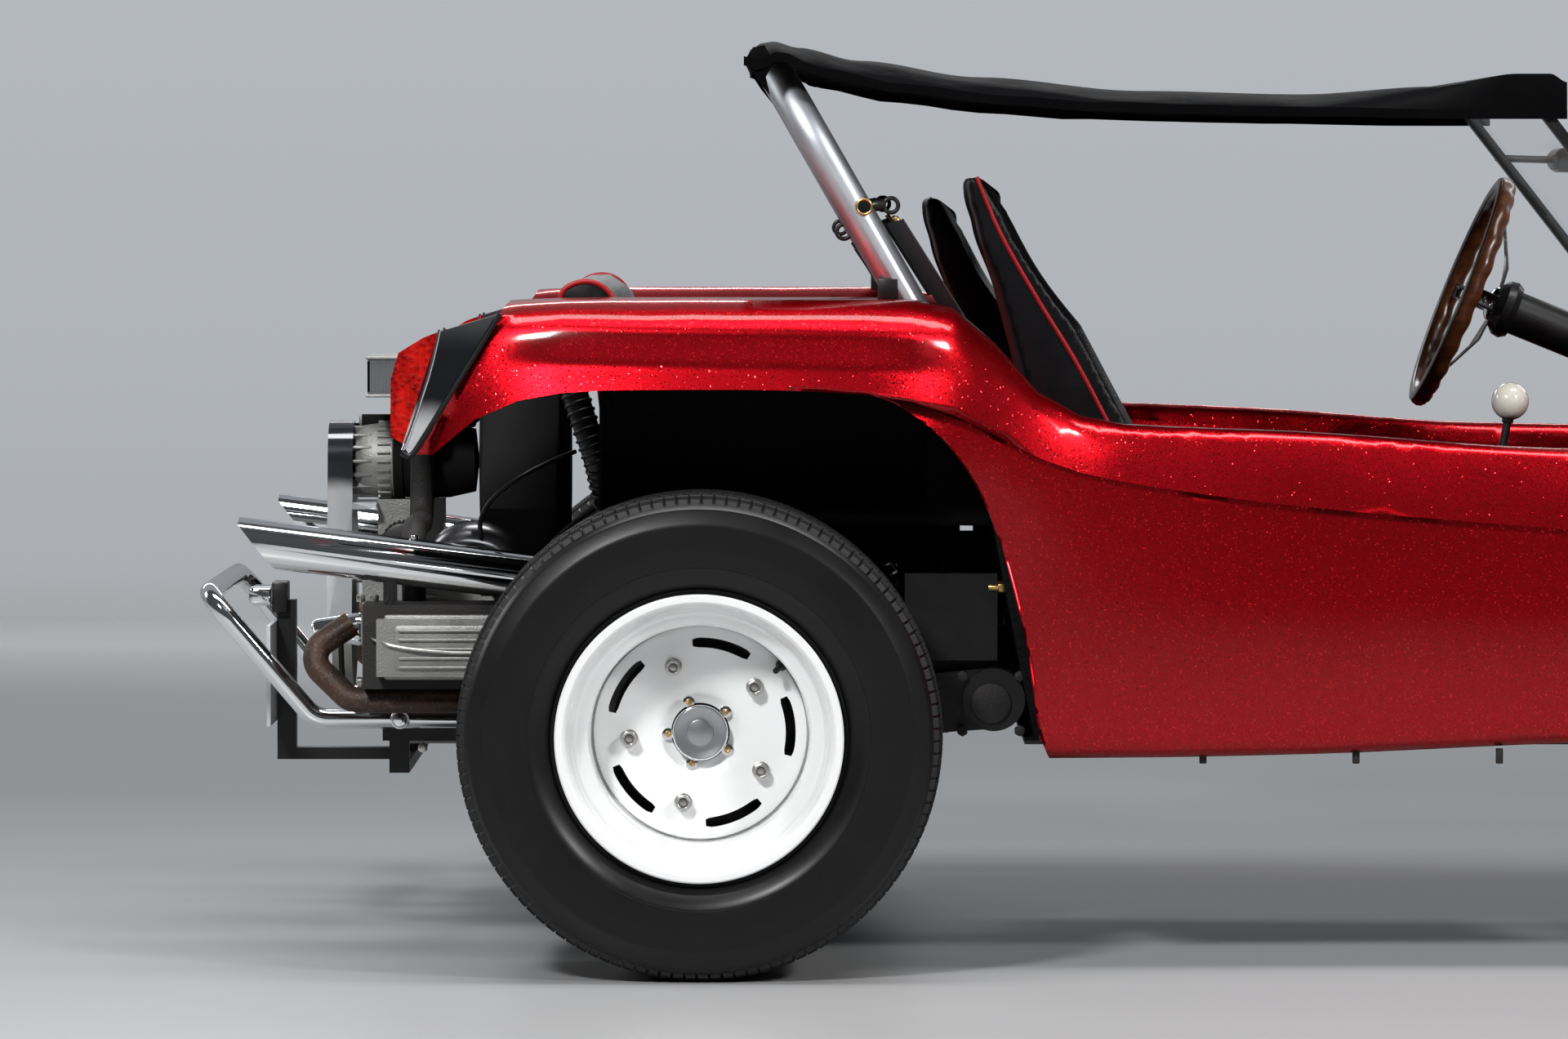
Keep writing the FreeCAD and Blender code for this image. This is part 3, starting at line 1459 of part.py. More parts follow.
def make_steering():
    """Column from the dash bracket, wheel on top of it."""
    tilt = math.radians(size("column_tilt"))
    y = size("wheel_y")
    centre = Vector(1180, y, 968)
    axis = Vector(math.cos(tilt), 0, -math.sin(tilt))
    rim = Part.makeTorus(
        size("wheel_rim_radius") - size("wheel_rim_tube"), size("wheel_rim_tube"), centre, axis,
    )
    hub_at = centre + axis * 62
    hub = rod(tuple(hub_at), tuple(hub_at + axis * 26), 44)
    spokes = []
    for degrees in (0, 90, 180, 270):
        turn = Rotation(axis, degrees)
        out = turn.multVec(Vector(math.sin(tilt), 0, math.cos(tilt)))
        spokes.append(
            rod(
                tuple(hub_at + axis * 12),
                tuple(centre + out * (size("wheel_rim_radius") - size("wheel_rim_tube"))),
                8,
            ),
        )
    solid_part("steering_wheel", fused([rim, hub] + spokes))
    start = hub_at + axis * (26 + gap)
    column = rod(tuple(start), tuple(start + axis * 560), 17)
    shroud = rod(tuple(start), tuple(start + axis * 120), 34)
    low = front_axle_z + beam_rise - 14 - gap + 8 + 36
    sector = Part.makeCylinder(17, 30, Vector(wheelbase, pitman_y, low + gap))
    box = block((wheelbase - 40, pitman_y - 38, low + 20), (wheelbase + 50, pitman_y + 38, low + 95))
    shaft_start = start + axis * 556
    shaft = rod(tuple(shaft_start), (wheelbase - 30, pitman_y, low + 62), 11)
    clamp = block(
        (wheelbase + 40, pitman_y - 25, front_axle_z + beam_rise), (beam_x + 28, pitman_y + 25, low + 60),
    )
    tube_z = front_axle_z + beam_rise
    saddle = rod((beam_x, pitman_y - 40, tube_z), (beam_x, pitman_y + 40, tube_z), beam_tube + gap)
    clamp = clamp.cut(saddle)
    solid_part("steering_column", fused([column, shroud, sector, box, shaft, clamp]))


def make_shifter():
    """Gear lever with its ball, on the tunnel."""
    base = Vector(1180, 0, tunnel_top + gap)
    plate = Part.makeCylinder(30, 14, base)
    top = Vector(1227, 0, rail_z + 30)
    stick = rod((1182, 0, tunnel_top + 10), tuple(top), 6)
    ball = Part.makeSphere(28.5, top)
    brake = rod((900, 0, tunnel_top + 30), (1090, 0, tunnel_top + 90), 11)
    brake_base = block((860, -14, tunnel_top + gap), (930, 14, tunnel_top + 44))
    solid_part("shifter", fused([plate, stick, ball]))
    return fused([brake, brake_base])


def make_pedals():
    """Three hanging-free pedals on the toe board's foot."""
    pieces = []
    for y in (180, 260, 340):
        arm = block((1440, y - 6, pan_z + pan_sheet + gap), (1452, y + 6, pan_z + 150))
        foot = block((1432, y - 26, pan_z + 130), (1441, y + 26, pan_z + 190))
        pieces.append(fused([arm, foot]))
    return pieces


def make_head_lamps():
    """Round lamps standing on the hood on short stems."""
    pieces = []
    for side in (LEFT, RIGHT):
        y = side * 330
        bowl = Part.makeCylinder(92, 40, Vector(2330, y, rail_z + 44), Vector(1, 0, 0))
        back = Part.makeCone(20, 92, 110, Vector(2220, y, rail_z + 44), Vector(1, 0, 0))
        stem = rod((2290, y, rail_z - 170), (2290, y, rail_z - 20), 16)
        pieces.append(fused([bowl, back, stem]).cut(space_under(HOOD, 70, hood_outline, DOWN, 3 * gap)))
    return solid_part("head_lamps", Part.makeCompound(pieces))


def make_tail_lamps():
    """Wedge lamps in the ends of the rear fenders: a dark housing and a red lens."""
    housings = []
    lenses = []
    for side in (LEFT, RIGHT):
        low_y, high_y = sorted((side * (fender_y - 170), side * (fender_y - 22)))
        top_x, top_z = TAIL_TOP
        low_x, low_z = TAIL_LOW
        housing = prism(
            [
                (top_x - gap, low_y, top_z),
                (-372, low_y, deck_z - 42),
                (low_x - 10, low_y, low_z + 16),
                (low_x - gap - 0.5, low_y, low_z),
            ],
            (0, high_y - low_y, 0),
        )
        lens = prism(
            [
                (-372 - gap, low_y, deck_z - 42),
                (-394, low_y, deck_z - 50),
                (-430, low_y, deck_z - 72),
                (-441, low_y, deck_z - 110),
                (-442, low_y, lip_z - 66),
                (low_x - 10 - gap, low_y, low_z + 16),
            ],
            (0, high_y - low_y, 0),
        )
        housings.append(housing)
        lenses.append(lens)
    solid_part("tail_lamp_housings", Part.makeCompound(housings))
    solid_part("tail_lamp_lenses", Part.makeCompound(lenses))


def make_exhaust():
    """Steel header pipes under the engine and two chrome mufflers rising to slash-cut tips."""
    rise = math.tan(math.radians(7.1))
    muffler_root_z = 555
    mufflers = []
    for side in (LEFT, RIGHT):
        y = side * 420
        start = Vector(-230, y, muffler_root_z)
        end = Vector(-686, y, muffler_root_z + (686 - 230) * rise)
        tube = rod(tuple(start), tuple(end), pipe_radius)
        cutter = prism(
            [
                (-686, y - 50, 641),
                (-621, y - 50, 559),
                (-621, y - 50, 500),
                (-760, y - 50, 500),
                (-760, y - 50, 641),
            ],
            (0, 100, 0),
        )
        bore = rod(tuple(start + (end - start) * 0.7), tuple(end + (end - start) * 0.1), pipe_radius - 3)
        hanger = block((-470, y - 8, crank_z + 62 + gap), (-450, y + 8, 570))
        mufflers.append(tube.fuse(hanger).cut(cutter).cut(bore))
    solid_part("mufflers", Part.makeCompound(mufflers))
    headers = []
    for side in (LEFT, RIGHT):
        route = [
            (-230, side * 400, crank_z - 62 - header_radius - gap),
            (-520, side * 396, crank_z - 62 - header_radius - gap),
            (-590, side * 372, crank_z - 16),
            (-521, side * 360, crank_z + 30),
        ]
        headers.append(bent_tube(route, header_radius, 30))
    solid_part("headers", Part.makeCompound(headers))


def make_bumpers():
    """Chrome tube bumpers: a loop at each end of the vehicle."""
    rear_x = -rear_reach + bumper_radius
    root_z = 340
    top_z = 528
    y = 295
    rear = bent_tube(
        [
            (-300, -y, root_z),
            (-580, -y, root_z),
            (rear_x, -y - 30, top_z),
            (rear_x, y + 30, top_z),
            (-580, y, root_z),
            (-300, y, root_z),
        ],
        bumper_radius,
        45,
    )
    solid_part("rear_bumper", rear)
    front_x = wheelbase + front_reach - bumper_radius
    leg_y = beam_half - 34
    nose_z = 520
    front = bent_tube(
        [
            (beam_x + 30 + gap, -leg_y, root_z),
            (front_x - 110, -leg_y, root_z),
            (front_x, -leg_y, nose_z),
            (front_x, leg_y, nose_z),
            (front_x - 110, leg_y, root_z),
            (beam_x + 30 + gap, leg_y, root_z),
        ],
        bumper_radius,
        45,
    )
    solid_part("front_bumper", front)
    brackets = []
    plate_y = y - bumper_radius - gap
    for side in (LEFT, RIGHT):
        low_y, high_y = sorted((side * (plate_y - 9), side * plate_y))
        brackets.append(block((-480, low_y, 306), (-180, high_y, 345)))
        brackets.append(block((-470, low_y, 258), (-440, high_y, 306)))
        low_y, high_y = sorted((side * (110 + gap), side * plate_y))
        brackets.append(block((-260, low_y, 330), (-180, high_y, 345)))
    cross = block((-470, -plate_y, 258), (-440, plate_y, 276))
    bar = block((-656, -14, 258), (-627, 14, 502))
    foot = block((-627, -14, 258), (-470, 14, 276))
    solid_part("rear_brackets", fused(brackets + [cross, bar, foot]))
    solid_part("plate", block((-662, -152, 318), (-656 - gap, 152, 470)))


make_side_panels()
make_dash()
make_screen()
make_roll_bar()
make_canvas()
stands = make_seat("right", -seat_y, 396, 0) + make_seat("left", seat_y, 343, 31)
solid_part("seat_frames", Part.makeCompound(stands))
make_bench()
make_steering()
handbrake = make_shifter()
solid_part("floor_controls", Part.makeCompound(make_pedals() + [handbrake]))
make_head_lamps()
make_tail_lamps()
make_exhaust()
make_bumpers()


doc.recompute()
for label, item in parts.items():
    item.recompute()
failed = [item.Label for item in doc.Objects if "Invalid" in item.State or "Error" in item.State]
failed += [label for label, item in parts.items() if item.Shape.isNull() or not item.Shape.isValid()]
if failed:
    raise RuntimeError(f"these pieces did not build: {failed}")
os.makedirs("parts", exist_ok=True)
for label, item in parts.items():
    item.Shape.exportStep(f"parts/{label}.step")
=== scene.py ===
"""Looks of the dune buggy: finishes, tread, upholstery, trim and the studio around its frame."""

import json
import logging
import math
from collections.abc import Callable, Iterable
from dataclasses import dataclass
from enum import Enum

import bpy
import numpy as np
from mathutils import Matrix, Vector


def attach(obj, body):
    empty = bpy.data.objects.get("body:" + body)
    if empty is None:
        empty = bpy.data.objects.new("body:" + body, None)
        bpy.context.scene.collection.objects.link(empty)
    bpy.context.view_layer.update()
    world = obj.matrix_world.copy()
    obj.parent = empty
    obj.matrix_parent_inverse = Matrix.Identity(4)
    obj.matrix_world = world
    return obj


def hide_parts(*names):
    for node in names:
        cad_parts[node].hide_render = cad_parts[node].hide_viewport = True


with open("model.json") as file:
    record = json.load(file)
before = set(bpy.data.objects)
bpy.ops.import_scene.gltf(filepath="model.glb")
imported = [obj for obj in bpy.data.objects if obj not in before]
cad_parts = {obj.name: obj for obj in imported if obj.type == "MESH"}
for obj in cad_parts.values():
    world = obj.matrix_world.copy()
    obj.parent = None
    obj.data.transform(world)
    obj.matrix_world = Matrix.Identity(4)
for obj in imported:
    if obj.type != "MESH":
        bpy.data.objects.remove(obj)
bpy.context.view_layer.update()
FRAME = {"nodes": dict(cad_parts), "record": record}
LOG = logging.getLogger("buggy")

Piece = bpy.types.Object
Material = bpy.types.Material
Colour = tuple[float, float, float]
Point = tuple[float, float, float]
Outline = tuple[tuple[float, float], ...]

REAR_AXLE_X = -0.990
FRONT_AXLE_X = 1.042
RIGHT = -1
LEFT = 1
SIDES = ((RIGHT, "right"), (LEFT, "left"))
ALONG = (1, 0, 0)
ACROSS = (0, 1, 0)
UP = (0, 0, 1)


def scaled(colour: Colour, factor: float) -> Colour:
    """A darker or lighter colour."""
    return tuple(min(1, value * factor) for value in colour)


class Channel:
    """One output of a shader node, whose sums with numbers or channels add Math nodes."""

    def __init__(self, sheet: "ShaderSheet", socket: bpy.types.NodeSocket) -> None:
        """Keeps the socket and the sheet that it belongs to."""
        self.sheet = sheet
        self.socket = socket

    def _maths(self, operation: str, *terms: "Channel | float") -> "Channel":
        """One Math node.

        Args:
            operation: The node's operation.
            terms: Its inputs, in order.

        Returns:
            The node's result.
        """
        return self.sheet.add("Math", {"operation": operation}, dict(enumerate(terms)))

    def __add__(self, other: "Channel | float") -> "Channel":
        """Sum."""
        return self._maths("ADD", self, other)

    __radd__ = __add__

    def __sub__(self, other: "Channel | float") -> "Channel":
        """Difference."""
        return self._maths("SUBTRACT", self, other)

    def __rsub__(self, other: "Channel | float") -> "Channel":
        """Difference, from a number."""
        return self._maths("SUBTRACT", other, self)

    def __mul__(self, other: "Channel | float") -> "Channel":
        """Product."""
        return self._maths("MULTIPLY", self, other)

    __rmul__ = __mul__

    def above(self, limit: float) -> "Channel":
        """One where the channel is over the limit, and nought elsewhere."""
        return self._maths("GREATER_THAN", self, limit)

    def eased(self, low: float, high: float) -> "Channel":
        """Nought below low, one above high, and smooth between."""
        inputs = {"Value": self, "From Min": low, "From Max": high}
        return self.sheet.add("MapRange", {"interpolation_type": "SMOOTHSTEP"}, inputs)


class ShaderSheet:
    """The nodes of one material."""

    def __init__(self, name: str) -> None:
        """Makes an empty material with its output node."""
        self.material = bpy.data.materials.new(name)
        self.material.use_nodes = True
        self.nodes = self.material.node_tree.nodes
        self.links = self.material.node_tree.links
        self.nodes.clear()
        self.output = self.nodes.new("ShaderNodeOutputMaterial")

    def add(self, kind: str, settings: dict, inputs: dict, output: int | str = 0) -> Channel:
        """Adds a node.

        Args:
            kind: The shader node's type.
            settings: Properties, set first; "stops" holds a ramp's places and colours.
            inputs: Values or channels for its sockets, by name or number.
            output: Which output is wanted.

        Returns:
            That output.
        """
        node = self.nodes.new("ShaderNode" + kind)
        for key, value in settings.items():
            if key == "stops":
                elements = node.color_ramp.elements
                while len(elements) < len(value):
                    elements.new(0.5)
                for element, (place, colour) in zip(elements, value):
                    element.position = place
                    element.color = (*colour, 1)
            else:
                setattr(node, key, value)
        for key, value in inputs.items():
            socket = node.inputs[key]
            if isinstance(value, Channel):
                self.links.new(value.socket, socket)
            elif socket.type == "RGBA" and len(value) == 3:
                socket.default_value = (*value, 1)
            else:
                socket.default_value = value
        return Channel(self, node.outputs[output])

    def place(self, scale: Point = (1, 1, 1), turn: Point = (0, 0, 0)) -> Channel:
        """Object coordinates, scaled and turned."""
        source = self.add("TexCoord", {}, {}, "Object")
        return self.add("Mapping", {}, {"Vector": source, "Scale": scale, "Rotation": turn})

    def noise(self, scale: float, detail: float = 3, at: Channel | None = None) -> Channel:
        """Cloudy noise from nought to one."""
        where = at or self.place()
        return self.add("TexNoise", {}, {"Vector": where, "Scale": scale, "Detail": detail})

    def cells(self, scale: float, output: str = "Color", at: Channel | None = None) -> Channel:
        """Random cells, of which an output is picked."""
        where = at or self.place()
        return self.add("TexVoronoi", {}, {"Vector": where, "Scale": scale}, output)

    def mixed(self, share: Channel | float, first: Channel | Colour, second: Channel | Colour) -> Channel:
        """Two colours mixed."""
        settings = {"data_type": "RGBA"}
        return self.add("Mix", settings, {"Factor": share, 6: first, 7: second}, 2)

    def axis(self, vector: Channel, which: int) -> Channel:
        """One of a vector's three numbers."""
        return self.add("SeparateXYZ", {}, {0: vector}, which)

    def tone(self, colour: Channel, which: int) -> Channel:
        """One of a colour's three numbers."""
        return self.add("SeparateColor", {}, {0: colour}, which)

    def vector(self, operation: str, inputs: dict) -> Channel:
        """The result of one Vector Math node."""
        return self.add("VectorMath", {"operation": operation}, inputs)

    def bump(self, height: Channel, depth: float, strength: float = 1.0) -> Channel:
        """A bumpy normal from a height of nought to one and its depth in metres."""
        return self.add("Bump", {}, {"Strength": strength, "Distance": depth, "Height": height})

    def surface(self, inputs: dict) -> Material:
        """Ends the sheet in a surface shader with these inputs."""
        shader = self.add("BsdfPrincipled", {}, inputs)
        self.links.new(shader.socket, self.output.inputs["Surface"])
        return self.material


@dataclass(frozen=True)
class Finish:
    """A finish with worn, cloudy colour and a fine grain."""

    name: str
    colour: Colour
    roughness: float = 0.5
    metallic: float = 0.0
    coat: float = 0.0
    cloud: float = 0.12
    cloud_size: float = 9.0
    grain: float = 0.0
    grain_scale: float = 900.0
    rough_spread: float = 0.06
    shine: float = 0.5

    def shade(self, sheet: ShaderSheet) -> Material:
        """Lays the finish on a sheet.

        Args:
            sheet: An empty sheet.

        Returns:
            The finished material.
        """
        cloud = sheet.noise(self.cloud_size, 4)
        dark, light = scaled(self.colour, 1 - self.cloud), scaled(self.colour, 1 + self.cloud)
        inputs = {
            "Base Color": sheet.mixed(cloud, dark, light),
            "Roughness": cloud * (2 * self.rough_spread) + (self.roughness - self.rough_spread),
            "Metallic": self.metallic,
            "Specular IOR Level": self.shine,
            "Coat Weight": self.coat,
            "Coat Roughness": 0.04,
        }
        if self.grain:
            inputs["Normal"] = sheet.bump(sheet.noise(self.grain_scale, 2), self.grain)
        return sheet.surface(inputs)


@dataclass(frozen=True)
class Flake(Finish):
    """Candy paint over metal flake: bright chips under a clear gloss."""

    chip_scale: float = 620.0

    def crease(self, sheet: ShaderSheet, normal: Channel) -> Channel:
        """The lean of the surface along the shallow groove in each rear fender's side.

        Args:
            sheet: The paint's sheet.
            normal: The surface's own direction.

        Returns:
            A small upward or downward lean.
        """
        place = sheet.place()
        along, across, height = (sheet.axis(place, which) for which in range(3))
        facing = sheet.axis(normal, 1)
        side = (facing * facing).eased(0.25, 0.6) * (across * across).eased(0.36, 0.42)
        span = along.eased(-1.30, -1.16) * (1 - along.eased(-0.76, -0.60))
        level = height + (along + 0.99) * 0.02
        groove = level.eased(0.868, 0.892) * (1 - level.eased(0.914, 0.934))
        crown = level.eased(0.916, 0.942)
        lip = 1 - level.eased(0.862, 0.880)
        rise = (crown * 0.34 - groove * 0.40 + lip * 0.30) * side * span
        return sheet.add("CombineXYZ", {}, {2: rise})

    @staticmethod
    def lean(sheet: ShaderSheet, chips: Channel, middle: Point, amount: Channel | float) -> Channel:
        """A random lean of the surface for each chip.

        Args:
            sheet: The paint's sheet.
            chips: The chips' random colours.
            middle: The colour that leans nowhere.
            amount: How far the others lean.

        Returns:
            The lean.
        """
        return sheet.vector("SCALE", {0: sheet.vector("SUBTRACT", {0: chips, 1: middle}), "Scale": amount})

    def shade(self, sheet: ShaderSheet) -> Material:
        """Lays the paint: chips of varied slope and brightness, bright ones, and rare flashes.

        Args:
            sheet: An empty sheet.

        Returns:
            The finished material.
        """
        chips = sheet.cells(self.chip_scale)
        base = sheet.mixed(sheet.tone(chips, 0), scaled(self.colour, 0.55), scaled(self.colour, 1.35))
        base = sheet.mixed(sheet.tone(chips, 1).eased(0.965, 1.0), base, (0.7, 0.03, 0.03))
        rare = sheet.cells(self.chip_scale * 0.36)
        flash = sheet.tone(rare, 1).above(0.935)
        base = sheet.mixed(flash, base, (0.66, 0.016, 0.020))
        normal = sheet.add("NewGeometry", {}, {}, "Normal")
        slope = normal
        for lean in (
            self.lean(sheet, chips, (0.5, 0.5, 0.5), 0.15),
            self.lean(sheet, rare, (0.5, 0.968, 0.5), flash * 0.44),
            self.crease(sheet, normal),
        ):
            slope = sheet.vector("ADD", {0: slope, 1: lean})
        return sheet.surface(
            {
                "Base Color": base,
                "Roughness": flash * -0.20 + self.roughness,
                "Metallic": self.metallic,
                "Specular Tint": (0.75, 0.035, 0.05, 1),
                "Coat Weight": self.coat,
                "Coat Roughness": 0.11,
                "Coat IOR": 1.30,
                "Normal": sheet.vector("NORMALIZE", {0: slope}),
            }
        )


@dataclass(frozen=True)
class Brushed(Finish):
    """Metal with fine rings or lines from brushing."""

    line_scale: Point = (60, 900, 900)

    def shade(self, sheet: ShaderSheet) -> Material:
        """Lays the metal with streaked roughness."""
        streaks = sheet.noise(1.0, 4, sheet.place(self.line_scale))
        cloud = sheet.noise(self.cloud_size, 3)
        return sheet.surface(
            {
                "Base Color": sheet.mixed(cloud, scaled(self.colour, 1 - self.cloud), self.colour),
                "Roughness": streaks * 0.14 + (self.roughness - 0.07),
                "Metallic": self.metallic,
            }
        )


@dataclass(frozen=True)
class PaintedReflection(Finish):
    """A dark mirror panel with a painted reflection of the pale floor towards its foot and a faint painted
    highlight near its top.
    """

    # Heights between which the painted reflection of the floor fades out.
    foot: tuple[float, float] = (0.795, 0.842)

    def shade(self, sheet: ShaderSheet) -> Material:
        """Lays the panel with its painted floor reflection, its painted highlight and a soft cloud."""
        height = sheet.axis(sheet.place(), 2) + sheet.noise(14, 3) * 0.02
        # Paler towards the foot: painted reflection of the floor. A little paler near the top: painted
        # highlight.
        foot = 1 - height.eased(*self.foot)
        painted_top_highlight = height.eased(0.905, 0.965) * 0.09
        return sheet.surface(
            {
                "Base Color": sheet.mixed(foot * 0.9 + painted_top_highlight, self.colour, (0.72, 0.73, 0.75)),
                "Roughness": self.roughness,
                "Metallic": self.metallic,
                "Coat Weight": self.coat,
                "Coat Roughness": 0.04,
            }
        )


@dataclass(frozen=True)
class Rust(Finish):
    """Heat-browned steel with darker and redder patches."""

    def shade(self, sheet: ShaderSheet) -> Material:
        """Lays the browned metal."""
        patches = sheet.noise(26, 6)
        specks = sheet.noise(260, 3)
        warm = sheet.mixed(patches.eased(0.35, 0.65), self.colour, (0.075, 0.036, 0.022))
        base = sheet.mixed(specks.eased(0.52, 0.7) * 0.5, warm, (0.15, 0.13, 0.12))
        return sheet.surface(
            {
                "Base Color": base,
                "Roughness": patches * 0.35 + 0.4,
                "Metallic": 0.35,
                "Normal": sheet.bump(specks, 0.0006),
            }
        )


@dataclass(frozen=True)
class Vinyl(Finish):
    """Grained vinyl or leathercloth: pebbled cells and soft creases, with painted shade in the creases'
    hollows.
    """

    pebble_scale: float = 420.0
    crease: float = 0.0012
    sheen: float = 0.3

    def shade(self, sheet: ShaderSheet) -> Material:
        """Lays the cloth with its pebble grain."""
        pebbles = sheet.cells(self.pebble_scale, "Distance")
        folds = sheet.noise(14, 5)
        lift = sheet.bump(folds, self.crease)
        grain = {"Strength": 0.5, "Distance": 0.0003, "Height": pebbles, "Normal": lift}
        both = sheet.add("Bump", {}, grain)
        return sheet.surface(
            {
                # Darker where the fold height is low, in the hollows of the creases: painted shade.
                "Base Color": sheet.mixed(folds, scaled(self.colour, 0.7), self.colour),
                "Roughness": folds * 0.2 + (self.roughness - 0.1),
                "Specular IOR Level": self.sheen,
                "Normal": both,
            }
        )


@dataclass(frozen=True)
class Wood(Finish):
    """Varnished timber with long dark grain."""

    def shade(self, sheet: ShaderSheet) -> Material:
        """Lays the grain and the varnish."""
        grain = sheet.noise(1.0, 6, sheet.place((30, 30, 160)))
        base = sheet.mixed(grain.eased(0.3, 0.7), (0.07, 0.02, 0.006), self.colour)
        return sheet.surface(
            {
                "Base Color": base,
                "Roughness": 0.3,
                "Coat Weight": 0.25,
                "Coat Roughness": 0.2,
                "Normal": sheet.bump(grain, 0.0002),
            }
        )


@dataclass(frozen=True)
class Clear(Finish):
    """Glass or a tinted lens."""

    passing: float = 0.95
    alpha: float = 1.0
    facet: float = 0.0

    def shade(self, sheet: ShaderSheet) -> Material:
        """Lays the clear body with a trace of haze, or with moulded facets and painted glints on them."""
        haze = sheet.noise(30, 3)
        inputs = {
            "Base Color": sheet.mixed(haze, self.colour, scaled(self.colour, 0.9)),
            "Roughness": haze * 0.03 + self.roughness,
            "Transmission Weight": self.passing,
            "IOR": 1.45,
            "Alpha": self.alpha,
        }
        if self.facet:
            cells = sheet.cells(self.facet, "Distance")
            streaks = sheet.noise(1.0, 3, sheet.place((60, 60, 9)))
            # Each facet runs from dark red in its middle to bright red at its rim, with streaks: painted
            # glints of the facets.
            shade = cells.eased(0.1, 0.75) * 0.5 + streaks.eased(0.4, 0.62) * 0.5
            inputs["Base Color"] = sheet.mixed(shade, (0.10, 0.0004, 0.0008), (0.62, 0.010, 0.006))
            inputs["Normal"] = sheet.bump(cells, 0.0007)
        return sheet.surface(inputs)


class Look(Enum):
    """Every finish on the vehicle."""

    RED = Flake("red_flake", (0.42, 0.0030, 0.0080), 0.33, 0.92, 1.0, chip_scale=1500.0)
    WHITE = Finish("white_gloss", (0.88, 0.885, 0.885), 0.22, 0.0, 0.9, 0.015)
    RUBBER = Finish(
        "tyre_rubber", (0.0042, 0.0042, 0.0048), 0.36, 0.0, 0.0, 0.25, 14, 0.0001, 500, shine=0.32,
    )
    TREAD = Finish("tread_rubber", (0.012, 0.012, 0.0125), 0.58, 0.0, 0.0, 0.3, 20, 0.0003, 300, shine=0.3)
    CHROME = Finish("chrome", (0.86, 0.87, 0.88), 0.07, 1.0, 0.0, 0.03, 12, 0, 900, 0.03)
    HOOP = Brushed("brushed_hoop", (0.54, 0.56, 0.60), 0.50, 1.0, line_scale=(30, 30, 30))
    BLACK = Finish("black_paint", (0.0065, 0.0065, 0.007), 0.42, 0.0, 0.1, 0.35, 22, 0.0002, 240, 0.12, 0.35)
    MATT = Finish("matt_black", (0.004, 0.004, 0.0045), 0.8, 0.0, 0.0, 0.4, 18, 0.0006, 160, 0.1, 0.15)
    # Near-black painted shade for the skins' hollows and undersides.
    WELL = Finish("well_coating", (0.0022, 0.002, 0.0022), 0.78, 0.0, 0.0, 0.5, 30, 0.0035, 95, 0.15, 0.12)
    ALLOY = Finish("cast_alloy", (0.27, 0.27, 0.26), 0.50, 0.6, 0.0, 0.3, 24, 0.0007, 340, 0.12)
    IRON = Finish("cast_iron", (0.03, 0.028, 0.027), 0.66, 0.5, 0.0, 0.4, 26, 0.0009, 300, 0.12)
    RUST = Rust("browned_steel", (0.035, 0.022, 0.018))
    SEAT = Vinyl("seat_vinyl", (0.0035, 0.0035, 0.0045), 0.40, sheen=0.16)
    CANVAS = Vinyl(
        "canvas_cloth", (0.0016, 0.0016, 0.0020), 0.55, pebble_scale=900, crease=0.004, sheen=0.03,
    )
    PIPING = Vinyl("red_piping", (0.32, 0.008, 0.012), 0.4, pebble_scale=700)
    GREY = Vinyl("grey_vinyl", (0.16, 0.16, 0.165), 0.5, pebble_scale=500)
    WEB = Finish("webbing", (0.012, 0.012, 0.013), 0.75, 0.0, 0.0, 0.3, 60, 0.0008, 700, 0.08)
    WOOD = Wood("rim_wood", (0.13, 0.040, 0.012))
    GLASS = Clear("clear_glass", (0.96, 0.98, 0.97), 0.02, alpha=0.12)
    LENS = Clear("red_lens", (0.80, 0.006, 0.006), 0.08, passing=0.2, facet=130)
    # The dark mirror and the plated guard pale towards their feet: painted reflection of the floor.
    SMOKE = PaintedReflection("dark_mirror", (0.012, 0.013, 0.016), 0.10, 0.35, 1.0)
    GUARD = PaintedReflection("plated_guard", (0.03, 0.033, 0.04), 0.16, 0.5, 0.8, foot=(0.675, 0.705))
    MIRROR = Finish("silvered_glass", (0.9, 0.9, 0.9), 0.03, 1.0, 0.0, 0.01)
    PLATE = Finish("plate_paint", (0.55, 0.56, 0.58), 0.35, 0.0, 0.4, 0.05)
    PLASTIC = Finish(
        "black_plastic", (0.007, 0.007, 0.0075), 0.38, 0.0, 0.0, 0.2, 30, 0.0002, 700, shine=0.35,
    )
    IVORY = Finish("ivory_ball", (0.80, 0.77, 0.68), 0.16, 0.0, 1.0, 0.03)
    BRASS = Finish("brass", (0.62, 0.42, 0.16), 0.32, 1.0, 0.0, 0.2)
    STEEL = Finish("bright_steel", (0.55, 0.54, 0.52), 0.3, 1.0, 0.0, 0.15, 60)
    DARK = Finish("dark_steel", (0.16, 0.16, 0.165), 0.3, 1.0, 0.0, 0.2, 40)
    CAP = Finish("satin_cap", (0.42, 0.43, 0.45), 0.3, 0.9, 0.3, 0.08)
    PAPER = Finish("filter_paper", (0.085, 0.087, 0.092), 0.8, 0.0, 0.0, 0.2)

    def material(self) -> Material:
        """The finish's material, made the first time that it is asked for."""
        known = bpy.data.materials.get("look_" + self.value.name)
        return known or self.value.shade(ShaderSheet("look_" + self.value.name))


def deselect() -> None:
    """Leaves edit mode and deselects everything."""
    if bpy.context.object and bpy.context.object.mode != "OBJECT":
        bpy.ops.object.mode_set(mode="OBJECT")
    bpy.ops.object.select_all(action="DESELECT")


def pick(piece: Piece) -> Piece:
    """Selects one piece alone and makes it active."""
    deselect()
    piece.select_set(True)
    bpy.context.view_layer.objects.active = piece
    return piece


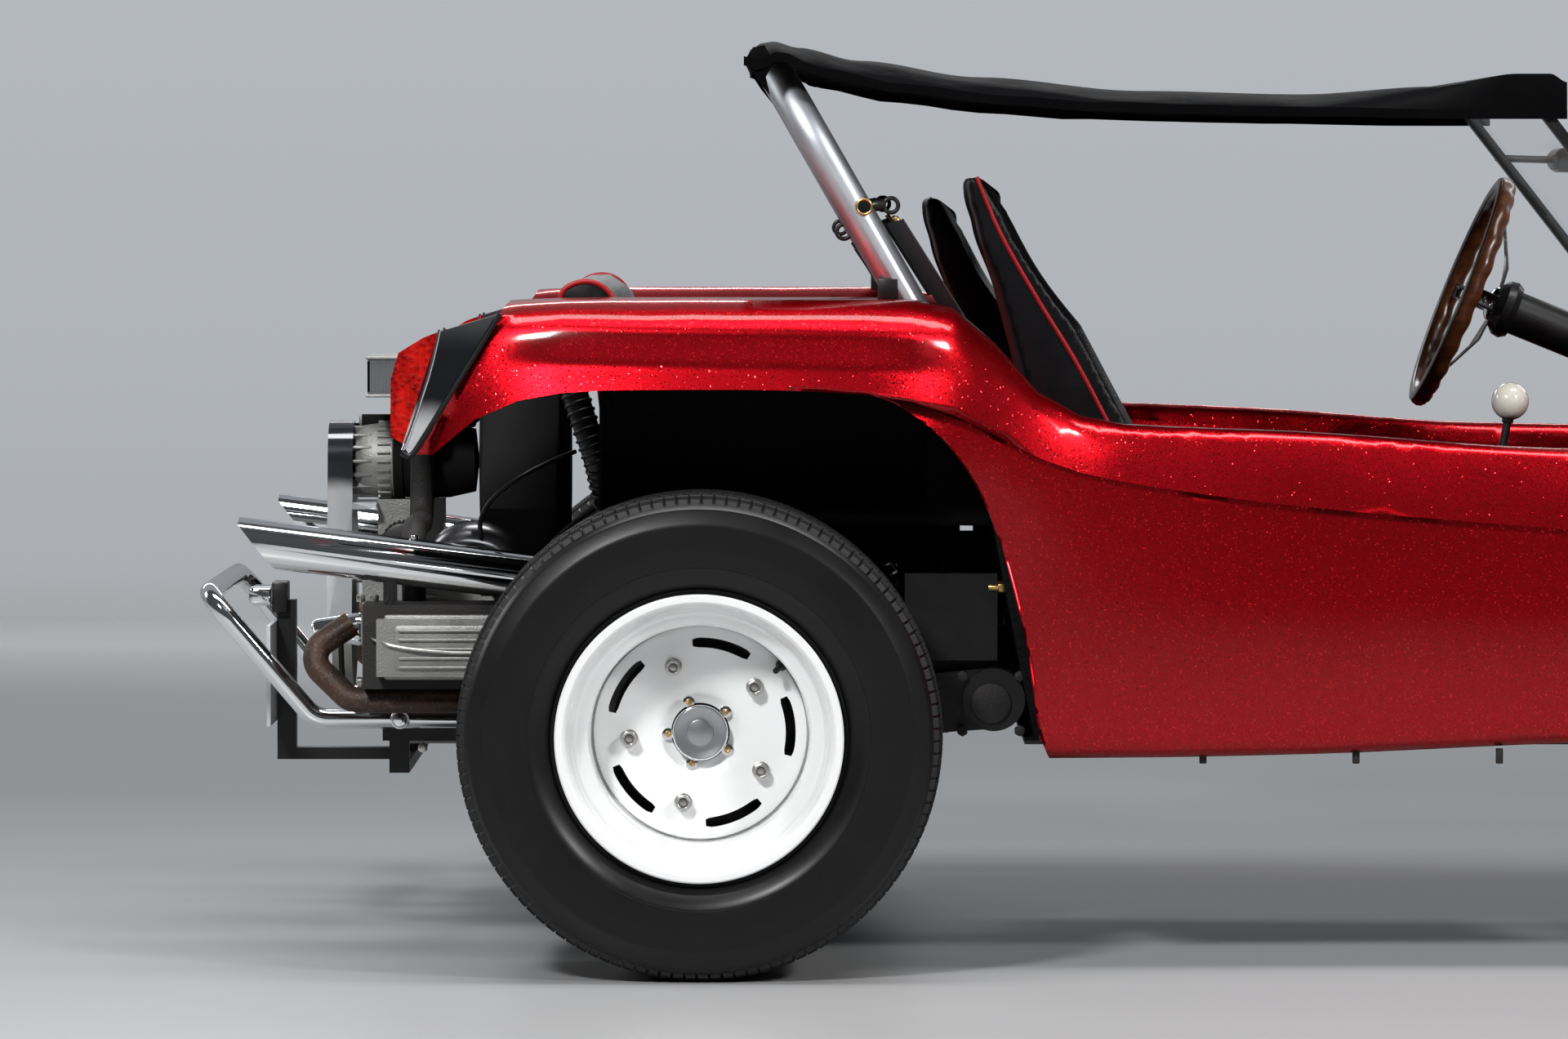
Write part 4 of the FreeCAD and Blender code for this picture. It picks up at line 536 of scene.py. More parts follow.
def edit(piece: Piece, choose: str = "SELECT") -> None:
    """Opens a piece in edit mode, with everything or nothing selected."""
    pick(piece)
    bpy.ops.object.mode_set(mode="EDIT")
    bpy.ops.mesh.select_all(action=choose)


def end_edit() -> None:
    """Leaves edit mode."""
    bpy.ops.object.mode_set(mode="OBJECT")


def settle(piece: Piece) -> Piece:
    """Puts the piece's place into its mesh."""
    pick(piece)
    bpy.ops.object.transform_apply(location=True, rotation=True, scale=True)
    return piece


def modify(piece: Piece, kind: str, **settings: object) -> None:
    """Adds a modifier with these settings and applies it."""
    pick(piece)
    modifier = piece.modifiers.new(kind.title(), kind)
    for key, value in settings.items():
        setattr(modifier, key, value)
    bpy.ops.object.modifier_apply(modifier=modifier.name)


def smooth(piece: Piece, angle: float = 35.0) -> None:
    """Shades a piece smooth up to an angle between faces."""
    pick(piece)
    bpy.ops.object.shade_smooth_by_angle(angle=math.radians(angle))


def join(pieces: list[Piece], name: str) -> Piece:
    """Joins pieces into the first one."""
    pick(pieces[0])
    for piece in pieces:
        piece.select_set(True)
    bpy.ops.object.join()
    pieces[0].name = name
    return pieces[0]


def wire(name: str, points: Iterable[Point]) -> Piece:
    """A row of vertices joined by edges.

    Args:
        name: The piece's name.
        points: The vertices, in order.

    Returns:
        A new piece.
    """
    row = list(points)
    deselect()
    bpy.ops.mesh.primitive_plane_add(size=0.01, location=row[0])
    piece = settle(bpy.context.object)
    edit(piece)
    bpy.ops.mesh.merge(type="CENTER")
    for start, end in zip(row, row[1:]):
        step = tuple(b - a for a, b in zip(start, end))
        bpy.ops.mesh.extrude_vertices_move(TRANSFORM_OT_translate={"value": step})
    end_edit()
    piece.name = name
    return piece


def spun(name: str, points: Iterable[Point], centre: Point, axis: Point, steps: int = 96) -> Piece:
    """A closed ring or cup turned from a profile.

    Args:
        name: The piece's name.
        points: The profile, in a plane through the axis.
        centre: A point on the axis.
        axis: The axis' direction.
        steps: How many faces go round.

    Returns:
        The turned piece, with its faces outwards.
    """
    piece = wire(name, points)
    edit(piece)
    bpy.ops.mesh.spin(steps=steps, angle=math.tau, center=centre, axis=axis)
    bpy.ops.mesh.select_all(action="SELECT")
    bpy.ops.mesh.remove_doubles(threshold=0.00002)
    bpy.ops.mesh.normals_make_consistent(inside=False)
    end_edit()
    smooth(piece)
    return piece


def rod(name: str, start: Point, end: Point, radius: float, sides: int = 24, bevel: float = 0.0008) -> Piece:
    """A round bar with eased ends.

    Args:
        name: The piece's name.
        start: The middle of one end.
        end: The middle of the other.
        radius: Its radius.
        sides: How many faces go round.
        bevel: How far its ends are eased.

    Returns:
        The bar.
    """
    low, high = Vector(start), Vector(end)
    deselect()
    bpy.ops.mesh.primitive_cylinder_add(vertices=sides, radius=radius, depth=(high - low).length)
    piece = bpy.context.object
    turn = (high - low).to_track_quat("Z", "Y").to_matrix().to_4x4()
    piece.matrix_world = Matrix.Translation((low + high) / 2) @ turn
    settle(piece)
    piece.name = name
    if bevel:
        modify(piece, "BEVEL", width=min(bevel, radius * 0.4), segments=2, limit_method="ANGLE")
    smooth(piece)
    return piece


def slab(name: str, low: Point, high: Point, bevel: float = 0.001, segments: int = 2) -> Piece:
    """A block with eased edges.

    Args:
        name: The piece's name.
        low: Its lowest corner.
        high: Its highest corner.
        bevel: How far its edges are eased.
        segments: Faces across an eased edge.

    Returns:
        The block.
    """
    deselect()
    middle = [(a + b) / 2 for a, b in zip(low, high)]
    bpy.ops.mesh.primitive_cube_add(size=1, location=middle)
    piece = bpy.context.object
    piece.scale = [b - a for a, b in zip(low, high)]
    settle(piece)
    piece.name = name
    if bevel:
        modify(piece, "BEVEL", width=bevel, segments=segments)
    smooth(piece)
    return piece


def pipe(
    name: str,
    points: Iterable[Point],
    radius: float,
    order: int = 3,
    sides: int = 6,
    closed: bool = False,
) -> Piece:
    """A smooth tube along a few points.

    Args:
        name: The piece's name.
        points: Control points of the line.
        radius: The tube's radius.
        order: How smoothly the line rounds its points.
        sides: Fineness of the round section.
        closed: True for an endless line.

    Returns:
        The tube as a mesh.
    """
    deselect()
    row = list(points)
    bpy.ops.curve.primitive_nurbs_path_add(location=(0, 0, 0))
    curve = bpy.context.object
    curve.data.splines.clear()
    spline = curve.data.splines.new("NURBS")
    spline.points.add(len(row) - 1)
    for knot, place in zip(spline.points, row):
        knot.co = (*place, 1)
    spline.order_u = order
    spline.use_endpoint_u = not closed
    spline.use_cyclic_u = closed
    curve.data.bevel_depth = radius
    curve.data.bevel_resolution = sides
    curve.data.resolution_u = 10
    curve.data.use_fill_caps = not closed
    bpy.ops.object.convert(target="MESH")
    piece = bpy.context.object
    piece.name = name
    smooth(piece, 50)
    return piece


def plate(name: str, outline: Iterable[Point], depth: Point, bevel: float = 0.0008) -> Piece:
    """A flat plate: its outline, filled and drawn out by a step.

    Args:
        name: The piece's name.
        outline: Its corners, in order.
        depth: The step that gives it its thickness.
        bevel: How far its edges are eased.

    Returns:
        The plate.
    """
    piece = wire(name, outline)
    edit(piece)
    bpy.ops.mesh.edge_face_add()
    bpy.ops.mesh.extrude_region_move(TRANSFORM_OT_translate={"value": depth})
    bpy.ops.mesh.select_all(action="SELECT")
    bpy.ops.mesh.normals_make_consistent(inside=False)
    end_edit()
    if bevel:
        modify(piece, "BEVEL", width=bevel, segments=2, limit_method="ANGLE")
    smooth(piece)
    return piece


def torus(name: str, centre: Point, axis: Point, radius: float, thick: float, steps: int = 48) -> Piece:
    """A round ring.

    Args:
        name: The piece's name.
        centre: Its middle.
        axis: The direction that it goes round.
        radius: From its middle to its wire's middle.
        thick: The wire's radius.
        steps: How many faces go round.

    Returns:
        The ring.
    """
    deselect()
    bpy.ops.mesh.primitive_torus_add(
        major_radius=radius, minor_radius=thick, major_segments=steps, minor_segments=12
    )
    piece = bpy.context.object
    turn = Vector(axis).to_track_quat("Z", "Y").to_matrix().to_4x4()
    piece.matrix_world = Matrix.Translation(centre) @ turn
    settle(piece)
    piece.name = name
    smooth(piece, 60)
    return piece


def sphere(name: str, centre: Point, radius: float, steps: int = 32) -> Piece:
    """A ball.

    Args:
        name: The piece's name.
        centre: Its middle.
        radius: Its radius.
        steps: How many faces go round.

    Returns:
        The ball.
    """
    deselect()
    bpy.ops.mesh.primitive_uv_sphere_add(
        segments=steps, ring_count=steps // 2, radius=radius, location=centre,
    )
    piece = settle(bpy.context.object)
    piece.name = name
    smooth(piece, 60)
    return piece


def carve(piece: Piece, tool: Piece) -> None:
    """Takes a tool's shape out of a piece."""
    modify(piece, "BOOLEAN", object=tool, operation="DIFFERENCE", solver="EXACT")
    bpy.data.objects.remove(tool)


def copied(piece: Piece, name: str, change: Matrix) -> Piece:
    """A copy with its own mesh.

    Args:
        piece: What is copied.
        name: The copy's name.
        change: The move, turn or mirroring of the copy.

    Returns:
        The copy, with its faces outwards.
    """
    twin = piece.copy()
    twin.data = piece.data.copy()
    twin.name = name
    bpy.context.scene.collection.objects.link(twin)
    twin.data.transform(change)
    if change.determinant() < 0:
        twin.data.flip_normals()
    return twin


def copies_around(piece: Piece, centre: Point, axis: str, count: int) -> list[Piece]:
    """Copies of a piece, turned evenly round an axis.

    Args:
        piece: What is copied.
        centre: A point on the axis.
        axis: The axis' letter.
        count: How many copies.

    Returns:
        The copies, the first of them where the piece is.
    """
    middle = Matrix.Translation(centre)
    turns = [Matrix.Rotation(math.tau * index / count, 4, axis) for index in range(count)]
    return [copied(piece, piece.name, middle @ turn @ middle.inverted()) for turn in turns]


def at(x: float, y: float, z: float) -> Point:
    """A point in the shared frame, in metres, from millimetres drawn from the rear axle's middle."""
    return (x / 1000 + REAR_AXLE_X, y / 1000, z / 1000)


def clamp(value: float) -> float:
    """A value held between nought and one."""
    return min(1.0, max(0.0, value))


def sweep(values: Iterable[tuple[float, float]], place: float) -> float:
    """A smooth value between the rows of a small table.

    Args:
        values: Places in rising order, each with its value.
        place: Where the value is wanted.

    Returns:
        The value there, and the first or last row's beyond the table.
    """
    rows = list(values)
    if place <= rows[0][0]:
        return rows[0][1]
    for (low, first), (high, second) in zip(rows, rows[1:]):
        if place <= high:
            share = (place - low) / (high - low)
            share = share * share * (3 - 2 * share)
            return first + (second - first) * share
    return rows[-1][1]


def bar(name: str, start: Point, end: Point, radius: float, sides: int = 24, bevel: float = 0.0008) -> Piece:
    """A round bar between two drawn places."""
    return rod(name, at(*start), at(*end), radius, sides, bevel)


def box(name: str, low: Point, high: Point, bevel: float = 0.001, segments: int = 2) -> Piece:
    """A block with eased edges between two drawn corners."""
    return slab(name, at(*low), at(*high), bevel, segments)


def hose(name: str, places: Iterable[Point], radius: float, order: int = 3, sides: int = 3) -> Piece:
    """A smooth tube along drawn places."""
    return pipe(name, [at(*place) for place in places], radius, order, sides)


def ring(name: str, centre: Point, axis: Point, radius: float, thick: float, steps: int) -> Piece:
    """A round ring about a drawn place."""
    return torus(name, at(*centre), axis, radius, thick, steps)


def lathe(name: str, centre: Point, profile: Outline, steps: int = 64) -> Piece:
    """A piece turned about a lengthwise axis.

    Args:
        name: The piece's name.
        centre: A drawn place on the axis.
        profile: Places along the axis from there, each with its radius, in millimetres.
        steps: How many faces go round.

    Returns:
        The turned piece.
    """
    x, y, z = centre
    points = [at(x + along, y, z + radius) for along, radius in profile]
    return spun(name, points, at(x, y, z), ALONG, steps)


def dress(piece: Piece, look: Look, body: str = "chassis") -> Piece:
    """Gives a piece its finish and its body.

    Args:
        piece: The piece, in place.
        look: Its finish.
        body: The body that it rides on.

    Returns:
        The same piece.
    """
    piece.data.materials.clear()
    piece.data.materials.append(look.material())
    LOG.info("%s: %s, on %s", piece.name, look.value.name, body)
    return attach(piece, body)


def body_holding(node: str) -> str:
    """The body that a solid belongs to."""
    bodies = FRAME["record"]["behaviour"]["bodies"]
    return next(name for name, nodes in bodies.items() if node in nodes)


def wheel_place(centre: Point, side: int) -> Matrix:
    """The move of a wheel's piece from the origin, where outwards is -Y, to its side's wheel."""
    return Matrix.Translation(centre) @ Matrix.Rotation(math.pi if side == LEFT else 0.0, 4, "Z")


def smooth_twin(node: str, angle: float = 28.0) -> Piece:
    """A merged, smooth-shaded copy of a solid, which stands for it.

    Args:
        node: The solid's name.
        angle: The angle between faces, in degrees, up to which they are shaded smooth.

    Returns:
        The copy.
    """
    source = FRAME["nodes"][node]
    twin = bpy.data.objects.new(node + "_skin", source.data.copy())
    bpy.context.scene.collection.objects.link(twin)
    twin.matrix_world = source.matrix_world.copy()
    settle(twin)
    edit(twin)
    bpy.ops.mesh.remove_doubles(threshold=0.00001)
    end_edit()
    smooth(twin, angle)
    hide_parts(node)
    return twin


@dataclass
class Tyre:
    """A road tyre with moulded rings, ribbed shoulders and a blocked tread."""

    node: str
    body: str
    centre: Point
    radius: float
    width: float
    bead: float = 0.1905
    lining: float = 0.012
    pitches: int = 60
    groove: float = 0.007
    wall: Outline = (
        (0.123, 0.003), (0.116, 0.014), (0.117, 0.019), (0.124, 0.022), (0.136, 0.038), (0.1405, 0.045),
        (0.1408, 0.0475), (0.1418, 0.048), (0.1448, 0.068), (0.1450, 0.082), (0.1436, 0.098),
        (0.1438, 0.1005), (0.1424, 0.1035), (0.1375, 0.118), (0.1372, 0.1205), (0.1350, 0.1225),
    )

    def profile(self) -> list[Point]:
        """The section as a loop: outside from bead to bead, and back along the lining."""
        scale = self.width / 0.290
        floor = self.radius - self.groove
        inside = floor - self.lining
        stretch = (inside - self.bead) / 0.145 * 0.1455 / self.wall[-1][1]
        outer = [(y * scale, self.bead + rise * stretch) for y, rise in self.wall]
        outer += [(0.118 * scale, floor), (0.075 * scale, floor + 0.0015), (0.0, floor + 0.002)]
        outer += [(-y, r) for y, r in reversed(outer[:-1])]
        back = [(-0.110 * scale, self.bead + 0.016), (-0.120 * scale, self.bead + 0.1), (0, inside)]
        back += [(-y, r) for y, r in reversed(back[:-1])]
        loop = outer + back + outer[:1]
        return [(self.centre[0], self.centre[1] + y, self.centre[2] + r) for y, r in loop]

    def round_axle(self, angle: float) -> Matrix:
        """A turn about the axle."""
        middle = Matrix.Translation(self.centre)
        return middle @ Matrix.Rotation(angle, 4, "Y") @ middle.inverted()

    def block(self, y: float, depth: float, wide: float, span: float, turn: float, top: float) -> Piece:
        """One tread block, curved with the tyre.

        Args:
            y: Middle across the tread.
            depth: Height above the groove floor.
            wide: Size across.
            span: Angle round the tyre that it covers.
            turn: Angle of its middle.
            top: Radius of its upper face.

        Returns:
            The block as a piece.
        """
        long = span * top
        x, middle, z = self.centre
        low = (x - long / 2, middle + y - wide / 2, z + top - depth)
        high = (x + long / 2, middle + y + wide / 2, z + top)
        piece = slab("block", low, high, 0.0008, 1)
        piece.data.transform(self.round_axle(turn))
        return piece

    def tread(self) -> Piece:
        """All blocks: three ribs of blocks and a ribbed shoulder on each side."""
        scale = self.width / 0.290
        pitch = math.tau / self.pitches
        top = self.radius - 0.0004
        blocks = []
        for y, phase in ((0.0, 0.0), (0.0435, 0.33), (-0.0435, -0.33)):
            for part in (0, 1):
                place = pitch * (phase + 0.5 * part)
                blocks.append(self.block(y * scale, 0.0085, 0.036 * scale, pitch * 0.43, place, top))
        for side, _ in SIDES:
            edge, shoulder_y = side * 0.0890 * scale, side * 0.1205 * scale
            heel = Matrix.Translation(Vector(self.centre) + Vector((0, shoulder_y, top - 0.02)))
            lean = heel @ Matrix.Rotation(side * math.radians(22), 4, "X") @ heel.inverted()
            for part in (0, 1):
                place = pitch * (0.5 * part + 0.15 * side)
                blocks.append(self.block(edge, 0.011, 0.040 * scale, pitch * 0.44, place, top - 0.0014))
                shoulder = self.block(shoulder_y, 0.034, 0.020 * scale, pitch * 0.40, place, top - 0.009)
                spin = self.round_axle(place)
                shoulder.data.transform(spin @ lean @ spin.inverted())
                blocks.append(shoulder)
        one = join(blocks, "tread")
        pivot = bpy.data.objects.new("pivot", None)
        bpy.context.scene.collection.objects.link(pivot)
        pivot.matrix_world = self.round_axle(pitch)
        bpy.context.view_layer.update()
        turned = {"use_relative_offset": False, "use_object_offset": True, "offset_object": pivot}
        modify(one, "ARRAY", count=self.pitches, **turned)
        bpy.data.objects.remove(pivot)
        return one

    def make(self) -> None:
        """Builds the carcass and the tread and lets them stand for the solid."""
        carcass = spun(self.node + "_carcass", self.profile(), self.centre, ACROSS, 144)
        dress(carcass, Look.RUBBER, self.body)
        tread = self.tread()
        tread.name = self.node + "_tread"
        dress(tread, Look.TREAD, self.body)
        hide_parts(self.node)


def even_shading(piece: Piece, rounds: int = 8) -> None:
    """Blends corner normals along a mesh's edges, but not across its sharp ones.

    Args:
        piece: A smooth-shaded piece.
        rounds: How far the blending reaches.
    """
    mesh = piece.data
    normals = np.array([value.vector[:] for value in mesh.corner_normals])
    vertices = np.array([loop.vertex_index for loop in mesh.loops])
    keys = np.column_stack([vertices, np.round(normals * 20)]).astype(np.int64)
    known, group = np.unique(keys, axis=0, return_inverse=True)
    group = group.reshape(-1)
    value = np.zeros((len(known), 3))
    np.add.at(value, group, normals)
    value /= np.linalg.norm(value, axis=1, keepdims=True) + 1e-12
    starts, ends, weights = [], [], []
    for face in mesh.polygons:
        corners = list(face.loop_indices)
        for first, second in zip(corners, corners[1:] + corners[:1]):
            long = (mesh.vertices[vertices[first]].co - mesh.vertices[vertices[second]].co).length
            starts += [group[first], group[second]]
            ends += [group[second], group[first]]
            weights += [1 / (long + 0.004)] * 2
    first, second, weight = np.array(starts), np.array(ends), np.array(weights)
    for _ in range(rounds):
        alike = (value[first] * value[second]).sum(axis=1)
        pull = weight * (alike > 0.8)
        total = value * 60
        np.add.at(total, first, value[second] * pull[:, None])
        value = total / (np.linalg.norm(total, axis=1, keepdims=True) + 1e-12)
    mesh.normals_split_custom_set(value[group].tolist())


class Skin:
    """Smooth twins of the red-painted solids, near-black where they look into a wheel housing or down:
    painted shade.
    """

    @staticmethod
    def tub_in_shade(centre: Vector, normal: Vector) -> bool:
        """Picks the tub's faces that get the near-black painted shade.

        Args:
            centre: A face's middle.
            normal: Its direction.

        Returns:
            True for a face that looks down or into a wheel housing or the engine bay.
        """
        drawn_x = centre.x - REAR_AXLE_X
        outward = normal.y * (1 if centre.y > 0 else -1)
        reach = abs(centre.y)
        underside = normal.z < -0.3
        fender_lining = outward < -0.3 and reach > 0.69
        rear_housing = outward > 0.3 and reach < 0.62 and drawn_x < 0.5
        bay_wall = normal.x < -0.5 and drawn_x > -0.2 and centre.z < 0.93
        front_housing = outward > 0.3 and reach < 0.46 and drawn_x > 1.7 and centre.z < 0.6
        return underside or fender_lining or rear_housing or bay_wall or front_housing

    @staticmethod
    def panel_in_shade(centre: Vector, normal: Vector) -> bool:
        """True for the inner side and the rear-facing edge of a lower panel, which get the near-black painted
        shade.
        """
        outward = normal.y * (1 if centre.y > 0 else -1)
        return outward < -0.2 or (normal.x < -0.3 and abs(outward) < 0.3)

    @staticmethod
    def paint(node: str, in_shade: Callable[[Vector, Vector], bool]) -> None:
        """Replaces a solid by its painted twin.

        Args:
            node: The solid.
            in_shade: Tells from a face's middle and normal whether it gets the near-black painted shade.
        """
        twin = smooth_twin(node, 40)
        even_shading(twin)
        dress(twin, Look.RED)
        # The second slot is the near-black painted shade in hollows and on undersides.
        twin.data.materials.append(Look.WELL.material())
        for face in twin.data.polygons:
            if in_shade(face.center, face.normal):
                face.material_index = 1

    @staticmethod
    def make() -> None:
        """Paints the tub and both lower panels."""
        Skin.paint("body_shell", Skin.tub_in_shade)
        Skin.paint("side_panel_left", Skin.panel_in_shade)
        Skin.paint("side_panel_right", Skin.panel_in_shade)
        for node, look in SMOOTH_NODES.items():
            dress(smooth_twin(node), look, body_holding(node))


@dataclass
class WheelTrim:
    """Nuts, cap and valve of one wheel, built about the origin with outwards as -Y."""

    body: str
    centre: Point
    side: int
    face: float
    hub: float
    nut_circle: float = 0.1025
    ear_circle: float = 0.0465
    valve_circle: float = 0.157
    cap_face: Outline = (
        (0, 0.0035), (0.010, 0.003), (0.0185, 0.0012), (0.0192, -0.0006), (0.0215, -0.0008),
        (0.030, 0.0006), (0.0365, 0.0022), (0.0365, -0.004), (0, -0.004),
    )

    @staticmethod
    def spot(radius: float, degrees: float, out: float) -> Point:
        """A place on the wheel from its radius, its clock angle and its place outwards."""
        angle = math.radians(degrees)
        return (radius * math.cos(angle), out, radius * math.sin(angle))

    @staticmethod
    def post(
        name: str, foot: Point, low: float, high: float, radius: float, sides: int = 24,
        bevel: float = 0.0008,
    ) -> Piece:
        """A round post that stands outwards.

        Args:
            name: The post's name.
            foot: A place on its axis.
            low: Height of its inner end over that place.
            high: Height of its outer end.
            radius: Its radius.
            sides: How many faces go round.
            bevel: How far its edges are eased.

        Returns:
            The post.
        """
        x, y, z = foot
        return rod(name, (x, y - low, z), (x, y - high, z), radius, sides, bevel)

    def five(self, piece: Piece) -> Piece:
        """A piece and four copies of it round the axle, joined."""
        turns = [Matrix.Rotation(math.radians(-72 * index), 4, "Y") for index in range(1, 5)]
        return join([piece] + [copied(piece, "one", turn) for turn in turns], piece.name)

    def nuts(self) -> Piece:
        """Five open nuts with collars over their studs."""
        foot = self.spot(self.nut_circle, 40.2, self.face)
        nut = self.post("nut", foot, -0.001, 0.019, 0.0118, 6, 0.0016)
        collar = self.post("collar", foot, -0.001, 0.005, 0.0128, 24, 0.0012)
        carve(nut, self.post("bore", foot, 0.011, 0.03, 0.0072, 20, 0))
        stud = self.post("stud", foot, -0.001, 0.0155, 0.0058, 16, 0.001)
        return self.five(join([nut, collar, stud], "nuts"))

    def cap(self) -> list[Piece]:
        """The bright cap: a ring with five screwed ears, a dished face and a domed middle."""
        top = self.hub - 0.0172
        rim = torus("cap_ring", (0, top + 0.0015, 0), ACROSS, 0.0375, 0.0026)
        foot = self.spot(self.ear_circle, 39, self.hub - 0.0005)
        joined = join([rim, self.five(self.post("ear", foot, -0.001, 0.0065, 0.0088))], "cap_ring")
        screw = self.post("screw", foot, 0.006, 0.0085, 0.0046, 16)
        x, y, z = foot
        slot = slab("slot", (x - 0.0007, y - 0.0095, z - 0.006), (x + 0.0007, y - 0.0078, z + 0.006), 0)
        carve(screw, slot)
        screws = self.five(screw)
        profile = [(0, top - z, radius) for radius, z in self.cap_face]
        face = spun("cap_face", profile, (0, 0, 0), ACROSS, 64)
        dressed = ((joined, Look.CHROME), (face, Look.CAP), (screws, Look.BRASS))
        return [dress(piece, look, self.body) for piece, look in dressed]

    def valve(self) -> Piece:
        """A rubber valve stem leaning out of the disc."""
        low = Vector(self.spot(self.valve_circle, 40, self.face - 0.002))
        high = Vector(self.spot(self.valve_circle - 0.016, 40, self.face - 0.034))
        bulb = rod("valve", tuple(low), tuple(low.lerp(high, 0.4)), 0.0085, 24, 0.003)
        stem = rod("stem", tuple(low), tuple(high), 0.0045, 20, 0.0015)
        return join([bulb, stem], "valve")

    def make(self) -> None:
        """Builds the trim and moves it to its wheel."""
        pieces = [dress(self.nuts(), Look.STEEL, self.body)]
        pieces += self.cap()
        pieces.append(dress(self.valve(), Look.RUBBER, self.body))
        for piece in pieces:
            piece.data.transform(wheel_place(self.centre, self.side))
            piece.name = f"{self.body}_{piece.name}"


@dataclass
class Rim:
    """A deep gloss rim: rolled lip, stepped barrel and dished disc with five arc slots.

    It is built about the origin with outwards as -Y. Half its width and its disc's place outwards
    are in millimetres.
    """

    node: str
    body: str
    centre: Point
    side: int
    half: float
    disc: float
    slot_radii: tuple[float, float] = (137.2, 122.8)
    slot_angle: float = 37.5

    def section(self) -> list[tuple[float, float]]:
        """Radius and place outwards of the rim's section, as a loop, in millimetres."""
        half, disc = self.half, self.disc
        lip = [
            (206, half - 6), (206, half - 2), (204, half - 0.4), (200, half), (195, half - 0.8),
            (191.5, half - 4),
        ]
        barrel = [
            (189, half - 12), (187.5, half - 22), (184.5, half - 27), (183, half - 30), (181, half - 40),
            (173, half - 49), (162, half - 55), (158.5, half - 60), (157.5, half - 66),
        ]
        face = [
            (156.2, disc - 4), (156.2, disc - 10), (154, disc - 10), (153, disc - 3), (150, disc - 1),
            (144, disc), (118, disc), (104, disc - 1.2), (88, disc - 3.2), (74, disc - 5.4),
        ]
        hub = [
            (62, disc - 8.4), (54, disc - 12.4), (50, disc - 15), (42, disc - 16), (42, disc - 22),
            (52, disc - 21),
        ]
        back = [
            (64, disc - 15), (90, disc - 9.5), (118, disc - 6), (148, disc - 6), (160, disc - 18),
            (162, disc - 22),
        ]
        inner = [(162, 52 - half), (176, 44 - half), (184, 20 - half), (184, -half), (206, -half)]
        outside = [
            (206, 6 - half), (190, 10 - half), (186, 40 - half), (168, 48 - half), (168, half - 62),
            (187, half - 44), (190.5, half - 12), (193, half - 7),
        ]
        return lip + barrel + face + hub + back + inner + outside + lip[:1]

    def slot(self, middle: float) -> Piece:
        """A cutter: an arc of the disc with rounded ends.

        Args:
            middle: Clock angle of the arc's middle, in degrees.

        Returns:
            The cutter.
        """
        points = []
        for radius, turns in zip(self.slot_radii, (1, -1)):
            for step in range(13):
                share = (step / 12 - 0.5) * turns
                inset = 2.2 * (abs(share * 2) ** 12)
                angle = math.radians(middle + share * self.slot_angle)
                away = radius - math.copysign(inset, turns)
                x, z = away * math.cos(angle) / 1000, away * math.sin(angle) / 1000
                points.append((x, -(self.disc + 12) / 1000, z))
        return plate("slot", points, (0, 0.036, 0), 0)

    def make(self) -> None:
        """Turns the rim, cuts the slots and puts it in place."""
        profile = [(0, -out / 1000, radius / 1000) for radius, out in self.section()]
        rim = spun(self.node + "_visual", profile, (0, 0, 0), ACROSS, 160)
        for index in range(5):
            carve(rim, self.slot(4.2 + 72 * index))
        smooth(rim, 32)
        rim.data.transform(wheel_place(self.centre, self.side))
        dress(rim, Look.WHITE, self.body)
        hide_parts(self.node)


class Soft:
    """Sheets, seams and stuffing of sewn pieces."""

    @staticmethod
    def grid(name: str, across: int, along: int, place: Callable[[float, float], Point]) -> Piece:
        """A sheet of faces laid by a function.

        Args:
            name: The piece's name.
            across: Faces across.
            along: Faces along.
            place: Gives a point from two shares of nought to one.

        Returns:
            The sheet as a piece.
        """
        deselect()
        bpy.ops.mesh.primitive_grid_add(x_subdivisions=across, y_subdivisions=along, size=2)
        piece = bpy.context.object
        for vertex in piece.data.vertices:
            vertex.co = place((vertex.co.x + 1) / 2, (vertex.co.y + 1) / 2)
        piece.name = name
        return piece

    @staticmethod
    def closed(piece: Piece) -> Piece:
        """Merges a sheet's seam, fills its open ends and turns its faces outwards."""
        edit(piece)
        bpy.ops.mesh.remove_doubles(threshold=0.0002)
        bpy.ops.mesh.select_all(action="DESELECT")
        bpy.ops.mesh.select_non_manifold(extend=False)
        bpy.ops.mesh.edge_face_add()
        bpy.ops.mesh.select_all(action="SELECT")
        bpy.ops.mesh.normals_make_consistent(inside=False)
        end_edit()
        return piece

    @staticmethod
    def stuffed(piece: Piece, voxel: float, cap: float) -> None:
        """Swells a closed piece like a filled cover, no point further than a cap.

        Args:
            piece: The cover, a little smaller than it ends up.
            voxel: Mesh size before the swelling.
            cap: The furthest move of a point.
        """
        modify(piece, "REMESH", mode="VOXEL", voxel_size=voxel, use_smooth_shade=True)
        start = [vertex.co.copy() for vertex in piece.data.vertices]
        pick(piece)
        cloth = piece.modifiers.new("Stuffing", "CLOTH")
        cloth.settings.use_pressure = True
        cloth.settings.uniform_pressure_force = 4
        cloth.settings.effector_weights.gravity = 0
        for frame in range(1, 21):
            bpy.context.scene.frame_set(frame)
        bpy.ops.object.modifier_apply(modifier=cloth.name)
        bpy.context.scene.frame_set(1)
        for vertex, first in zip(piece.data.vertices, start):
            move = vertex.co - first
            if move.length > cap:
                vertex.co = first + move.normalized() * cap
        modify(piece, "SMOOTH", factor=0.5, iterations=3)
        smooth(piece, 60)


